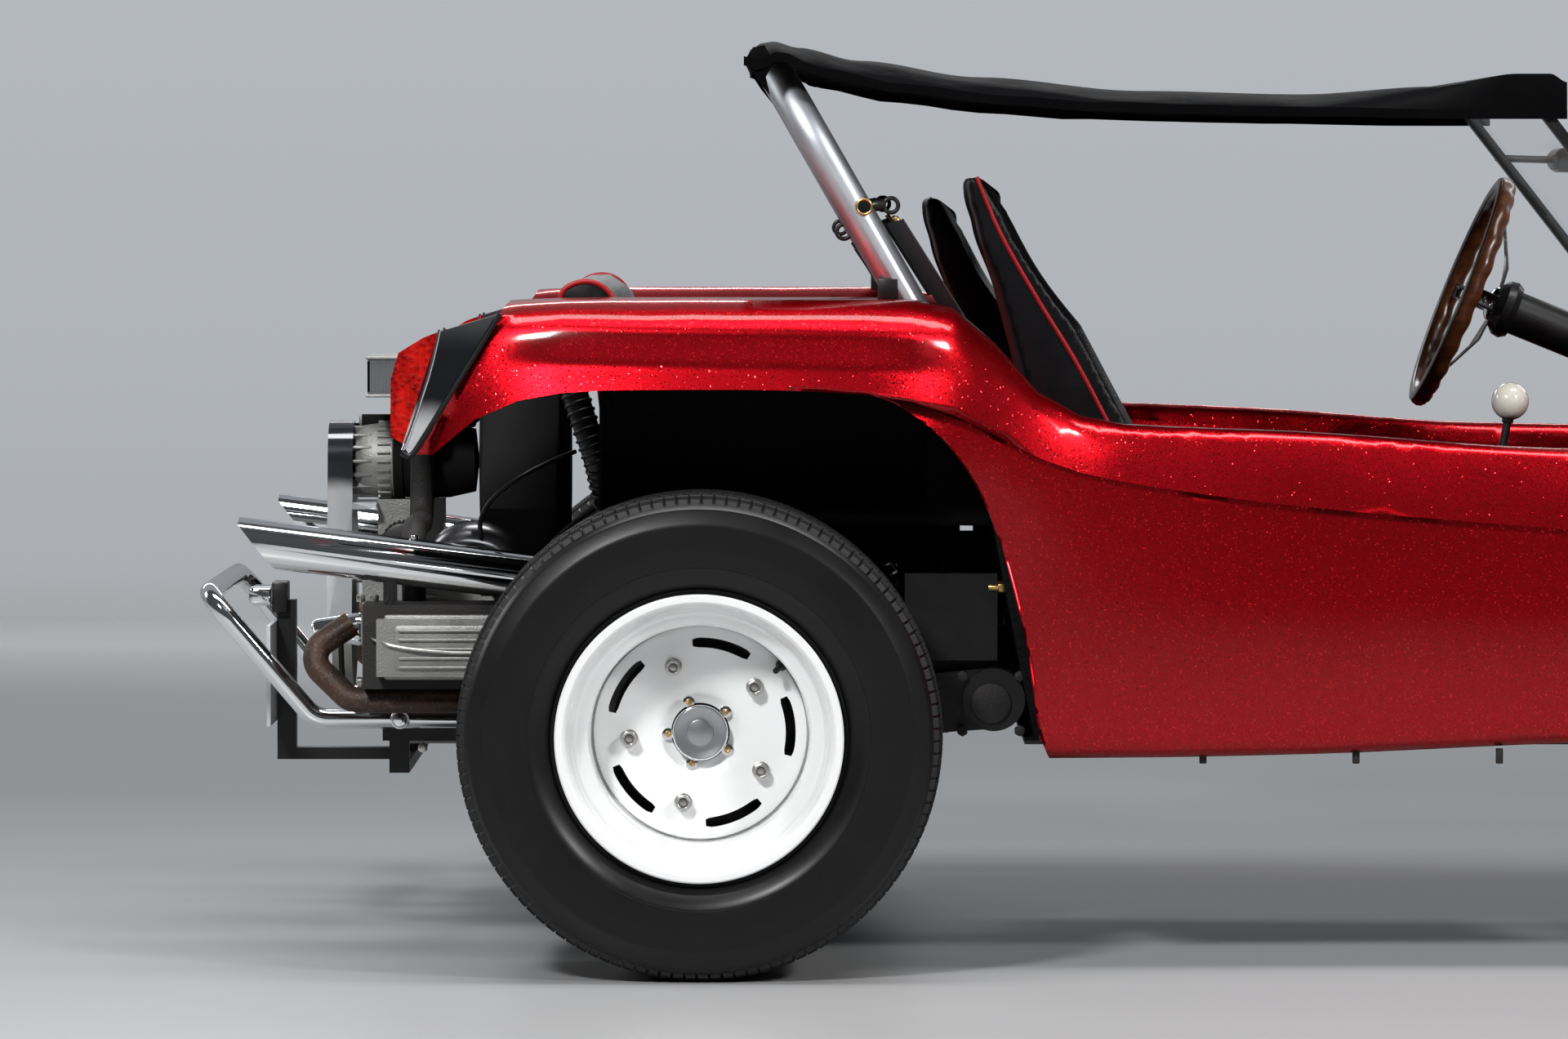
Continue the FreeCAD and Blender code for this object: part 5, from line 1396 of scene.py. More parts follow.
@dataclass
class Bucket:
    """One high-back seat: stuffed cover with red piping along the sewn seam of its door-side wing."""

    node: str
    shift: Point
    look: Look
    front: Outline = (
        (10, 1148), (34, 1124), (72, 1076), (130, 971), (176, 884), (236, 776), (300, 686), (400, 619),
        (520, 588), (572, 572),
    )
    foot_x: float = 396
    near_middle: float = -285
    waist_low: float = 930
    waist_high: float = 1148
    waist_depth: float = 22

    @staticmethod
    def waist(z: float) -> float:
        """How far the wings' front edge is drawn back at a height, in millimetres."""
        share = (z - Bucket.waist_low) / (Bucket.waist_high - Bucket.waist_low)
        return Bucket.waist_depth * math.sin(math.pi * share)

    @staticmethod
    def cover() -> Piece:
        """The stuffed cover of the near seat."""
        source = FRAME["nodes"]["seat_right"]
        cover = bpy.data.objects.new("seat_cover", source.data.copy())
        bpy.context.scene.collection.objects.link(cover)
        edit(cover)
        bpy.ops.mesh.remove_doubles(threshold=0.00001)
        end_edit()
        Soft.stuffed(cover, 0.0085, 0.006)
        edge = [(height, x) for x, height in reversed(Bucket.front)]
        for vertex in cover.data.vertices:
            x, z = (vertex.co.x - REAR_AXLE_X) * 1000 - Bucket.foot_x, vertex.co.z * 1000
            in_wing = abs(vertex.co.y - Bucket.near_middle / 1000) > 0.13
            if in_wing and Bucket.waist_low < z < Bucket.waist_high:
                vertex.co.x -= Bucket.waist(z) / 1000 * clamp((x - sweep(edge, z)) / 90 + 1)
        return cover

    def seam(self, cover: Piece, y: float) -> list[Point]:
        """The sewn line a little behind a wing's front edge, laid on the cover.

        Args:
            cover: The near seat's cover.
            y: Which side of the seat.

        Returns:
            Points just off the cloth.
        """
        points = []
        side = 1 if y < self.near_middle else -1
        for index, (x, z) in enumerate(self.front):
            waist = self.waist(z) if z > self.waist_low else 0
            back = min(5 + index * 4.5, 30) + max(0.0, waist)
            start = Vector(at(self.foot_x + x - back, y, z - back * 0.4))
            outside = start - Vector((0, side * 0.08, 0))
            found, spot, _, _ = cover.ray_cast(outside, Vector((0, side, 0)), distance=0.2)
            points.append((start.x, spot.y if found else start.y, start.z))
        return points

    def make(self, cover: Piece) -> None:
        """Puts a cover with its piping where the solid is.

        Args:
            cover: The near seat's cover, which is copied.
        """
        move = Matrix.Translation([value / 1000 for value in self.shift])
        piece = copied(cover, self.node + "_cover", move)
        dress(piece, self.look)
        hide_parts(self.node)
        door_side = -478 if self.shift[1] == 0 else -92
        piping = pipe(f"{self.node}_piping", self.seam(cover, door_side), 0.0034, 3, 3)
        piping.data.transform(move)
        dress(piping, Look.PIPING)


@dataclass
class RearBench:
    """The pleated rear bench, rolled over the firewall with piped ends."""

    outline: Outline = (
        (-138, 656), (-20, 656), (160, 656), (318, 656), (338, 674), (336, 697), (316, 710), (190, 700),
        (60, 702), (-36, 716), (-64, 742), (-80, 790), (-98, 870), (-120, 944), (-134, 978), (-158, 994),
        (-186, 993), (-208, 980), (-212, 958), (-168, 950), (-144, 800),
    )
    half: float = 436
    seat_top: float = 760
    roll_middle: tuple[float, float] = (-60, 900)
    pleats: int = 20
    pleat_depth: float = 5
    end_depth: float = 9

    def place(self, round_share: float, across: float) -> Point:
        """A point of the pleated cover.

        Args:
            round_share: Share of the way round the outline.
            across: Share of the way across the bench.

        Returns:
            The point, drawn in between two pleats and at both ends.
        """
        count = len(self.outline)
        where = (round_share * count) % count
        index = int(where) % count
        share = where - int(where)
        x0, z0 = self.outline[index]
        x1, z1 = self.outline[(index + 1) % count]
        x, z = x0 + (x1 - x0) * share, z0 + (z1 - z0) * share
        pleat = abs(math.sin(math.pi * across * self.pleats)) ** 0.6
        end = min(1.0, min(across, 1 - across) * 26)
        inset = (1 - pleat) * self.pleat_depth + (1 - end**0.5) * self.end_depth
        inner = self.roll_middle if z > self.seat_top else (x, self.seat_top)
        away = Vector((x - inner[0], z - inner[1]))
        if away.length > 1:
            away.normalize()
        return at(x - away.x * inset, -self.half + 2 * self.half * across, z - away.y * inset)

    def make(self) -> None:
        """Builds the cover, its end piping and its cheeks."""
        rows = len(self.outline) * 3
        cover = Soft.closed(Soft.grid("rear_bench_cover", rows, self.pleats * 8, self.place))
        smooth(cover, 60)
        dress(cover, Look.GREY)
        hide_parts("rear_bench")
        for side, _ in SIDES:
            loop = [at(x, side * self.half, z) for x, z in self.outline]
            piping = pipe(f"bench_piping_{side}", loop, 0.0042, 4, 3, closed=True)
            dress(piping, Look.PIPING)
            edge = [at(x, side * (self.half - 3), z) for x, z in self.outline]
            dress(plate(f"bench_cheek_{side}", edge, (0, side * 0.004, 0), 0.001), Look.SEAT)


@dataclass
class Canopy:
    """The canvas top: one sheet from round the hoop to the screen's top rail."""

    top: Outline = (
        (62, 1314), (72, 1333), (88, 1342), (104, 1344), (140, 1335), (230, 1316), (404, 1292), (640, 1272),
        (878, 1267), (1060, 1277), (1180, 1295), (1226, 1295), (1250, 1283),
    )
    edge: Outline = (
        (62, 1308), (84, 1300), (104, 1314), (130, 1312), (164, 1292), (297, 1268), (440, 1251),
        (582, 1242), (720, 1238), (925, 1234), (1120, 1231), (1250, 1231),
    )
    flap: Outline = ((63, 1314), (75, 1333), (92, 1336), (106, 1312), (94, 1290), (100, 1263), (80, 1288))
    start: float = 62
    length: float = 1188
    half: float = 604
    flat_share: float = 0.70
    side_share: float = 0.30
    shoulder: float = 452
    shoulder_growth: float = 148
    sag: float = 6
    crease: float = 3.6

    @staticmethod
    def belly(x: float) -> float:
        """Nought at the hoop and at the screen, one half way between."""
        return math.sin(math.pi * clamp((x - 120) / 1040))

    def fold(self, x: float, share: float, turn: float) -> float:
        """How far the turned-down side stands out.

        Args:
            x: Drawn place along the sheet.
            share: Signed share of the way from the middle to the edge.
            turn: Nought at the shoulder, one at the edge.

        Returns:
            The sum of loose waves and of the crease that runs down from the hoop.
        """
        phase = (x - 130) * 0.012 + (1 - turn) * 2.4
        waves = math.sin(phase * 2.2) + math.sin(phase * 5.1 + share * 3) * 0.5
        ridge = 0.22 + 0.62 * clamp((x - 120) / 620)
        crest = self.crease * math.exp(-(((turn - ridge) / 0.10) ** 2))
        return waves * (self.belly(x) * turn) + crest * clamp((x - 90) / 80) * max(0.0, 1 - x / 900)

    def place(self, along: float, across: float) -> Point:
        """A point of the sheet, with its sag and folds.

        Args:
            along: Share of the way from the hoop to the screen.
            across: Share of the way from the right edge to the left one.

        Returns:
            The point.
        """
        x = self.start + self.length * (0.5 - 0.5 * math.cos(math.pi * along))
        top, edge = sweep(self.top, x), sweep(self.edge, x)
        share = (across - 0.5) * 2
        side = 1 if share > 0 else -1
        turn = max(0.0, (abs(share) - self.flat_share) / self.side_share)
        flat = min(abs(share), self.flat_share) / self.flat_share
        front = clamp((x - 860) / 300)
        shoulder = self.shoulder + self.shoulder_growth * front * front * (3 - 2 * front)
        if turn > 0:
            angle = turn * math.pi / 2
            y = shoulder + (self.half - shoulder) * math.sin(angle)
            z = top - (top - edge) * (1 - math.cos(angle)) ** 0.9
        else:
            y, z = shoulder * flat, top
        belly = self.belly(x)
        sag = -self.sag * belly * (1 - flat**2)
        ripple = math.sin(x * 0.021 + share * 5) * math.sin(share * 9) * 0.9 * belly * (1 - turn)
        fold = self.fold(x, share, turn)
        return at(x, side * (y + fold * 0.9), z + sag + ripple + fold * 0.5)

    @staticmethod
    def strip(name: str, points: list[Point], drop: Point) -> Piece:
        """A folded hem along an edge of the sheet.

        Args:
            name: The hem's name.
            points: The edge.
            drop: The step from the edge to the hem's foot.

        Returns:
            The hem.
        """
        piece = wire(name, points)
        edit(piece)
        bpy.ops.mesh.extrude_edges_move(TRANSFORM_OT_translate={"value": drop})
        end_edit()
        modify(piece, "SOLIDIFY", thickness=0.0022, offset=0)
        smooth(piece, 60)
        return dress(piece, Look.CANVAS)

    def make(self) -> None:
        """Builds the sheet, its hems and the flaps round the hoop."""
        sheet = Soft.grid("canvas_sheet", 110, 120, self.place)
        modify(sheet, "SOLIDIFY", thickness=0.0016, offset=-1)
        smooth(sheet, 70)
        dress(sheet, Look.CANVAS)
        for side, across in ((RIGHT, 0.0), (LEFT, 1.0)):
            edge = [self.place(step / 40, across) for step in range(41)]
            lifted = [(x, y + side * 0.0012, z + 0.012) for x, y, z in edge]
            self.strip(f"canvas_hem_{side}", lifted, (0, 0, -0.0135))
            corners = [at(x, side * 600, z) for x, z in self.flap]
            flap = plate(f"canvas_flap_{side}", corners, (0, side * 0.002, 0), 0.0006)
            dress(flap, Look.CANVAS)
        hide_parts("canvas_top")


@dataclass
class HoopFittings:
    """The hoop's through boss, its belt eyes, the belts and their reels."""

    boss_x: float = 236
    boss_z: float = 1103
    leg_y: float = 560

    @staticmethod
    def strap(name: str, start: Point, end: Point, half: Point) -> None:
        """A flat belt between two drawn places.

        Args:
            name: The belt's name.
            start: Its upper end.
            end: Its lower end.
            half: Half its width, as a step.
        """
        low, high, reach = Vector(at(*start)), Vector(at(*end)), Vector(half)
        corners = [tuple(low - reach), tuple(low + reach), tuple(high + reach), tuple(high - reach)]
        thick = (high - low).cross(reach).normalized() * 0.0022
        dress(plate(name, corners, tuple(thick), 0.0004), Look.WEB)

    def leg(self, side: int, tag: str) -> None:
        """Everything on one leg.

        Args:
            side: Which side of the vehicle.
            tag: That side's name.
        """
        x, z = self.boss_x, self.boss_z
        dress(ring(f"boss_ring_{tag}", (x, side * 586.5, z), ACROSS, 0.0108, 0.0019, 32), Look.BRASS)
        # A matt black disc inside the brass ring stands for the dark bore: painted shade.
        bore = bar(f"boss_bore_{tag}", (x, side * 583, z), (x, side * 587, z), 0.0098, 24, 0.0004)
        dress(bore, Look.MATT)
        y = side * self.leg_y
        for name, x, z, lean in (("front", 262, 1104, 1), ("back", 220, 1066, -1)):
            ear = bar(f"eye_{name}_{tag}", (x - lean * 14, y, z), (x + lean * 4, y, z + 3), 0.0085, 20, 0.002)
            loop = ring(f"loop_{name}_{tag}", (x + lean * 13, y, z + 1), ACROSS, 0.0105, 0.0032, 32)
            dress(join([ear, loop], f"eye_{name}_{tag}"), Look.BLACK)
        clip = bar(f"belt_clip_{tag}", (281, y, 1088), (289, y, 1078), 0.0042, 12, 0.001)
        hook = bar(f"belt_hook_{tag}", (222, y, 1058), (236, y, 1036), 0.0018, 10, 0.0005)
        dress(join([clip, hook], f"belt_clip_{tag}"), Look.BRASS)
        turned = (0.011, side * 0.019, 0.004)
        self.strap(f"belt_front_{tag}", (282, y, 1082), (372, y, 940), turned)
        self.strap(f"belt_back_{tag}", (234, y - side * 40, 1046), (284, y - side * 40, 972), turned)
        dress(box(f"belt_reel_{tag}", (256, y - 26, 968), (286, y + 26, 1000), 0.003), Look.PLASTIC)

    def make(self) -> None:
        """Fits both legs."""
        for side, tag in SIDES:
            self.leg(side, tag)


@dataclass
class TailLamps:
    """Gaskets and bright dividers round the tail lamps."""

    edge: Outline = (
        (-285, 951), (-298, 929), (-328, 881), (-370, 813), (-406, 753), (-418, 745), (-426, 753),
    )
    divider: Outline = ((-371, 928), (-381, 880), (-395, 836), (-413, 782), (-424, 756))
    outer: float = 738
    inner: float = 590

    def make(self) -> None:
        """Trims both lamps."""
        for side, tag in SIDES:
            for name, y in (("outer", self.outer), ("inner", self.inner)):
                edge = [(x, side * y, z) for x, z in self.edge]
                dress(hose(f"lamp_gasket_{name}_{tag}", edge, 0.0042), Look.RUBBER)
            for name, y in (("outer", self.outer + 1), ("inner", self.inner - 1)):
                line = [(x, side * y, z) for x, z in self.divider]
                dress(hose(f"lamp_divider_{name}_{tag}", line, 0.0026), Look.CHROME)


@dataclass
class Engine:
    """Everything bolted to the open engine that its solids leave plain."""

    crank: float = 456
    shaft: float = 715
    case: Outline = (
        (-538, 0), (-538, 30), (-534, 46), (-522, 55), (-500, 58), (-478, 58), (-476, 61), (-462, 61),
        (-460, 57), (-440, 57), (-438, 61), (-424, 61), (-422, 58), (-392, 57), (-352, 48), (-346, 0),
    )
    pulley: Outline = (
        (-566, 0), (-566, 18), (-563, 30), (-566, 46), (-562, 48), (-554, 38), (-546, 48), (-542, 46),
        (-542, 14), (-536, 12), (-536, 0),
    )
    cone: Outline = ((-586, 0), (-586, 10), (-580, 15), (-520, 24), (-516, 25), (-512, 24), (-512, 0))
    elbow: tuple[Point, ...] = (
        (-398, -300, 560), (-392, -330, 590), (-350, -352, 622), (-300, -352, 606), (-268, -340, 560),
        (-262, -330, 520),
    )
    leads: tuple[tuple[Point, Point, Point], ...] = (
        ((-262, -330, 540), (-190, -390, 640), (-90, -410, 700)),
        ((-300, -300, 540), (-330, -380, 660), (-250, -400, 720)),
    )
    ribbed_hose: tuple[Point, ...] = (
        (-204, -424, 880), (-186, -430, 824), (-168, -440, 770), (-152, -442, 722), (-142, -426, 674),
        (-116, -360, 612),
    )
    studs: Outline = ((-80, 540), (80, 540), (-80, 380), (80, 380), (-40, 345), (40, 345))
    filler: Point = (-452, -196, 598)
    pleat_pitch: float = 0.0058

    def valve_covers(self) -> None:
        """Ribbed covers with their wire bails."""
        for side, tag in SIDES:
            low, high = sorted((side * 440.5, side * 474))
            cover = box(f"valve_cover_{tag}", (-460, low, 415), (-212, high, 497), 0.014, 4)
            low, high = sorted((side * 470, side * 478))
            heights = [428 + index * 13.5 for index in range(5)]
            ribs = [box("rib", (-446, low, z - 2.6), (-228, high, z + 2.6), 0.0022) for z in heights]
            low, high = sorted((side * 440.5, side * 450))
            lip = box("lip", (-468, low, 408), (-204, high, 504), 0.004)
            dress(join([cover, lip] + ribs, f"valve_cover_{tag}"), Look.ALLOY)
            bail = [(-490, 430, 470), (-478, 470, 466), (-440, 481, 456), (-345, 481, 448)]
            bail += [(-250, 481, 456), (-212, 470, 466), (-200, 430, 470)]
            wire = hose(f"bail_{tag}", [(x, side * y, z) for x, y, z in bail], 0.0026)
            dress(wire, Look.STEEL)

    def alternator(self) -> None:
        """Finned case halves and a grooved pulley; the far half is matt black, painted shade where it lies in
        shadow.
        """
        z = self.shaft
        middle = at(0, 0, z)
        case = lathe("alternator_case", (0, 0, z), self.case)
        ear = box("ear", (-530, -12, z + 50), (-352, 12, z + 70), 0.004)
        fin = box("fin", (-541, -2.2, z + 24), (-508, 2.2, z + 57), 0.0008)
        vane = box("vane", (-500, -1.6, z + 55), (-480, 1.6, z + 62.5), 0.0008)
        copies = copies_around(fin, middle, "X", 16) + copies_around(vane, middle, "X", 28)
        whole = join([case] + copies + [ear, fin, vane], "alternator_case")
        dress(whole, Look.ALLOY)
        # The far half of the case is matt black: painted shade.
        whole.data.materials.append(Look.MATT.material())
        for face in whole.data.polygons:
            if face.center.x > at(-470, 0, 0)[0]:
                face.material_index = 1
        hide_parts("alternator")
        pulley = lathe("belt_pulley", (0, 0, z), self.pulley)
        nut = bar("nut", (-576, 0, z), (-562, 0, z), 0.012, 6, 0.0012)
        dress(join([pulley, nut], "belt_pulley"), Look.STEEL)

    def belt(self) -> None:
        """The V-belt: an arc round each pulley, joined by straight runs."""
        loop = []
        arcs = ((self.shaft, 43, -4, 188, 12), (self.crank, 84, 172, 196, 18))
        for height, radius, first, turn, steps in arcs:
            for step in range(steps + 1):
                angle = math.radians(first + turn * step / steps)
                loop.append(at(-554, radius * math.cos(angle), height + radius * math.sin(angle)))
        dress(pipe("drive_belt", loop, 0.0052, 3, 2, closed=True), Look.RUBBER)

    def air_cleaner(self) -> None:
        """Pleated paper between two pressed plates."""
        z = self.shaft + 100
        lid = box("air_plates", (-511, -163, z + 57), (-347, 63, z + 62.5), 0.002)
        floor = box("air_floor", (-511, -163, z), (-347, 63, z + 5), 0.002)
        screw = bar("air_screw", (-430, -50, z + 60), (-430, -50, z + 72), 0.007, 6, 0.001)
        dress(join([lid, floor, screw], "air_plates"), Look.ALLOY)
        pleat = box("pleat", (-508.5, -160.5, z + 8), (-504.5, -158, z + 55), 0.0006, 1)
        steps = [(self.pleat_pitch * index, far, 0) for index in range(27) for far in (0, 0.2205)]
        rows = [copied(pleat, "pleat", Matrix.Translation(step)) for step in steps]
        side = box("pleat", (-508.5, -159, z + 8), (-506, -155, z + 55), 0.0006, 1)
        steps = [(far, self.pleat_pitch * index, 0) for index in range(37) for far in (0, 0.156)]
        rows += [copied(side, "pleat", Matrix.Translation(step)) for step in steps]
        core = box("core", (-506, -158, z + 6), (-352, 58, z + 56), 0)
        dress(join([pleat, side, core] + rows, "air_pleats"), Look.PAPER)

    def breather(self) -> None:
        """Ribbed filler cap on its stand, seen end on."""
        x, y, z = self.filler
        cap = bar("filler_cap", (x, y - 26, z), (x, y + 6, z), 0.031, 40, 0.004)
        rib = bar("rib", (x + 32, y - 22, z), (x + 32, y + 4, z), 0.0028, 10, 0.001)
        ribs = copies_around(rib, at(x, y, z), "Y", 28)
        neck = bar("neck", (x, y + 4, z), (-450, -108, 560), 0.022, 24, 0.001)
        dress(join([cap, rib, neck] + ribs, "filler_cap"), Look.PLASTIC)

    def tinware(self) -> None:
        """The intake elbow, two leads and the ribbed hose."""
        dress(hose("heater_elbow", self.elbow, 0.026, 4, 6), Look.DARK)
        for index, (start, high, end) in enumerate(self.leads):
            bend = ((start[0] + high[0]) / 2 - 14, high[1], (start[2] + high[2]) / 2)
            last = (end[0] + 60, end[1] + 60, end[2] + 20)
            dress(hose(f"lead_{index}", (start, bend, high, end, last), 0.0036), Look.RUBBER)
        tube = hose("corrugated_hose", self.ribbed_hose, 0.019, 4, 5)
        line = [Vector(at(*place)) for place in self.ribbed_hose]
        rings = []
        for index in range(22):
            share = index / 21 * (len(line) - 1)
            low = min(int(share), len(line) - 2)
            here = line[low].lerp(line[low + 1], share - low)
            rings.append(torus("fold", tuple(here), tuple(line[low + 1] - line[low]), 0.019, 0.0026, 24))
        dress(join([tube] + rings, "corrugated_hose"), Look.RUBBER)

    def bolts(self) -> None:
        """Case studs, the exhaust flanges' nuts and the bright cone."""
        heads = [bar("head", (-521, y, z), (-530, y, z), 0.0085, 6, 0.001) for y, z in self.studs]
        for side, _ in SIDES:
            for x in (-505, -485):
                heads.append(bar("head", (x, side * 395, 520), (x, side * 395, 530), 0.0075, 6, 0.001))
        dress(join(heads, "case_bolts"), Look.STEEL)
        dress(lathe("breather_cone", (0, -262, 472), self.cone, 40), Look.CHROME)

    def make(self) -> None:
        """Dresses the whole engine."""
        self.valve_covers()
        self.alternator()
        self.belt()
        self.air_cleaner()
        self.breather()
        self.tinware()
        self.bolts()


@dataclass
class RearEnd:
    """Bumper clamps, the plate lamp, the pipes' mouths and the bracket's bolts."""

    clamp_x: float = -452
    clamp_z: float = 340
    pipe_y: float = 420
    pipe_z: float = 555
    pipe_rise: float = math.tan(math.radians(7.1))

    def make(self) -> None:
        """Fits the rear end."""
        bolts = []
        for side, tag in SIDES:
            x, z = self.clamp_x, self.clamp_z
            head = bar("head", (x, side * 309, z), (x, side * 315, z), 0.0105, 24, 0.002)
            cross = bar("cross", (x, side * 314, z), (x, side * 319, z), 0.0062, 6, 0.001)
            collar = ring("collar", (x, side * 309.5, z), ACROSS, 0.0125, 0.0022, 32)
            dress(join([head, cross, collar], f"bumper_bolt_{tag}"), Look.CHROME)
            for x in (-420, -300):
                bolts.append(bar("bolt", (x, side * 276, 296), (x, side * 286, 296), 0.008, 6, 0.001))
            y = side * self.pipe_y
            low = (-400, y, self.pipe_z + 170 * self.pipe_rise)
            high = (-572, y, self.pipe_z + 342 * self.pipe_rise)
            # A matt black plug in each pipe's mouth stands for its dark bore: painted shade.
            dress(bar(f"pipe_bore_{tag}", low, high, 0.0318, 40, 0), Look.MATT)
            screw = bar(f"pipe_screw_{tag}", (-424, y, 613), (-424, y, 620), 0.006, 16, 0.002)
            dress(screw, Look.CHROME)
        dress(join(bolts, "bracket_bolts"), Look.STEEL)
        dress(box("plate_lamp", (-698, -36, 494), (-660, 36, 523), 0.008, 4), Look.CHROME)
        dress(box("plate_lamp_base", (-663, -30, 483), (-639, 30, 530), 0.003), Look.PLASTIC)


@dataclass
class SteeringWheel:
    """A wooden rim with finger grips and inlaid lines on four slotted spokes.

    It is built flat at the origin, in metres, facing +Z.
    """

    centre: Point = (1180, 300, 968)
    tilt: float = 22
    radius: float = 0.177
    thick: float = 0.0150
    grips: int = 24
    hub: tuple[Point, ...] = (
        (0, 0, -0.052), (0.030, 0, -0.052), (0.044, 0, -0.066), (0.046, 0, -0.078), (0.040, 0, -0.088),
        (0, 0, -0.088),
    )
    button: tuple[Point, ...] = (
        (0, 0, -0.040), (0.018, 0, -0.042), (0.026, 0, -0.047), (0.029, 0, -0.053), (0, 0, -0.053),
    )
    spoke: tuple[Point, ...] = (
        (0.020, -0.017, -0.056), (0.060, -0.014, -0.052), (0.168, -0.012, -0.001),
        (0.168, 0.012, -0.001), (0.060, 0.014, -0.052), (0.020, 0.017, -0.056),
    )

    def rim(self) -> Piece:
        """The rim, thinner between the fingers' places on its far side."""
        rim = torus("rim", (0, 0, 0), UP, self.radius, self.thick, 240)
        for vertex in rim.data.vertices:
            across = Vector((vertex.co.x, vertex.co.y)).length
            if vertex.co.z < 0.004:
                angle = math.atan2(vertex.co.y, vertex.co.x)
                scale = 1 - 0.17 * (0.5 - 0.5 * math.cos(angle * self.grips))
                wide = (self.radius + (across - self.radius) * scale) / across
                vertex.co = (vertex.co.x * wide, vertex.co.y * wide, vertex.co.z * scale)
        return rim

    def spokes(self) -> Piece:
        """Four spokes with three holes each."""
        spokes = []
        for index in range(4):
            spoke = plate("spoke", self.spoke, (0, 0, 0.0032), 0.0006)
            for share in (0.22, 0.48, 0.74):
                where = Vector((0.060, 0, -0.050)).lerp(Vector((0.168, 0, 0.001)), share)
                low, high = (where.x, 0, where.z - 0.02), (where.x, 0, where.z + 0.02)
                carve(spoke, rod("hole", low, high, 0.0068, 20, 0))
            spoke.data.transform(Matrix.Rotation(math.pi / 2 * index, 4, "Z"))
            spokes.append(spoke)
        return join(spokes, "wheel_spokes")

    def make(self) -> None:
        """Builds the wheel and leans it into place."""
        rim = self.rim()
        lines = [torus("line", (0, 0, 0.0112), UP, radius, 0.0009, 160) for radius in (0.1865, 0.1675)]
        inlay = join(lines, "wheel_inlay")
        hub = spun("hub", self.hub, (0, 0, 0), UP, 48)
        button = spun("button", self.button, (0, 0, 0), UP, 48)
        spokes = self.spokes()
        lean = math.radians(self.tilt)
        turn = Vector((-math.cos(lean), 0, math.sin(lean))).to_track_quat("Z", "Y").to_matrix().to_4x4()
        move = Matrix.Translation(at(*self.centre)) @ turn
        for piece, look, name in (
            (rim, Look.WOOD, "wheel_rim"),
            (inlay, Look.PLASTIC, "wheel_inlay"),
            (hub, Look.BLACK, "wheel_hub"),
            (button, Look.CHROME, "wheel_button"),
            (spokes, Look.DARK, "wheel_spokes"),
        ):
            piece.data.transform(move)
            piece.name = name
            dress(piece, look, "steering_wheel")
        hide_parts("steering_wheel")


@dataclass
class Cockpit:
    """The shifter's ball and stem, dash gauges and pedal pads."""

    stem: tuple[Point, ...] = ((1182, 0, 470), (1186, 0, 560), (1206, 0, 680), (1224, 0, 780))
    boot: Outline = (
        (0, 478), (31, 478), (31, 486), (24, 494), (20, 500), (14, 514), (10, 530), (7, 540), (0, 541),
    )
    dials: tuple[Point, ...] = ((300, 808, 50), (190, 800, 26), (410, 796, 26), (90, 812, 26))
    pedals: tuple[float, ...] = (180, 260, 340)

    def shifter(self) -> None:
        """The ball on its bent stem, with the boot at its foot."""
        ball = sphere("shift_ball", at(1227, 0, 805), 0.0287, 40)
        stem = hose("shift_stem", self.stem, 0.0062, 3, 5)
        foot = self.stem[0][0]
        profile = [at(foot + radius, 0, z) for radius, z in self.boot]
        boot = spun("shift_boot", profile, at(foot, 0, 0), UP, 40)
        nut = bar("shift_nut", (1223, 0, 772), (1224, 0, 780), 0.009, 6, 0.001)
        dress(ball, Look.IVORY)
        dress(join([stem, nut], "shift_stem"), Look.BLACK)
        dress(boot, Look.RUBBER)
        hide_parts("shifter")

    def make(self) -> None:
        """Dresses the cockpit."""
        self.shifter()
        faces, rings = [], []
        for y, z, radius in self.dials:
            rings.append(ring("bezel", (1438.5, y, z), ALONG, radius / 1000, 0.0028, 48))
            faces.append(bar("dial", (1440.5, y, z), (1437.5, y, z), radius / 1000, 48, 0))
            faces.append(box("needle", (1436.6, y - 1, z), (1437.4, y + 1, z + radius * 0.7), 0))
        dress(join(rings, "dial_rings"), Look.CHROME)
        dress(join(faces, "dials"), Look.PLASTIC)
        pads = [
            box("pad", (1427, y - 24, z), (1432.5, y + 24, z + 7), 0.0012)
            for y in self.pedals
            for z in (462, 474, 486, 498)
        ]
        dress(join(pads, "pedal_pads"), Look.RUBBER)


@dataclass
class Nose:
    """Head lamp glasses, rims and reflectors."""

    glass: Outline = (
        (52, 0), (51, 20), (47, 44), (40, 66), (34, 78), (30, 78), (36, 64), (43, 43), (47, 20), (48, 0),
    )
    bowl: Outline = ((20, 0), (21, 12), (24, 40), (30, 68), (34, 77), (32, 77), (26, 66), (18, 0))
    lamp_x: float = 2330
    lamp_y: float = 330
    lamp_z: float = 805

    def make(self) -> None:
        """Fits both head lamps."""
        for side, tag in SIDES:
            x, y, z = self.lamp_x, side * self.lamp_y, self.lamp_z
            dress(lathe(f"lamp_glass_{tag}", (x, y, z), self.glass), Look.GLASS)
            dress(ring(f"lamp_ring_{tag}", (x + 33, y, z), ALONG, 0.0815, 0.006, 64), Look.CHROME)
            bowl = lathe(f"lamp_bowl_{tag}", (x, y, z), self.bowl)
            bulb = sphere("bulb", at(x + 30, y, z), 0.011, 24)
            dress(join([bowl, bulb], f"lamp_bowl_{tag}"), Look.MIRROR)


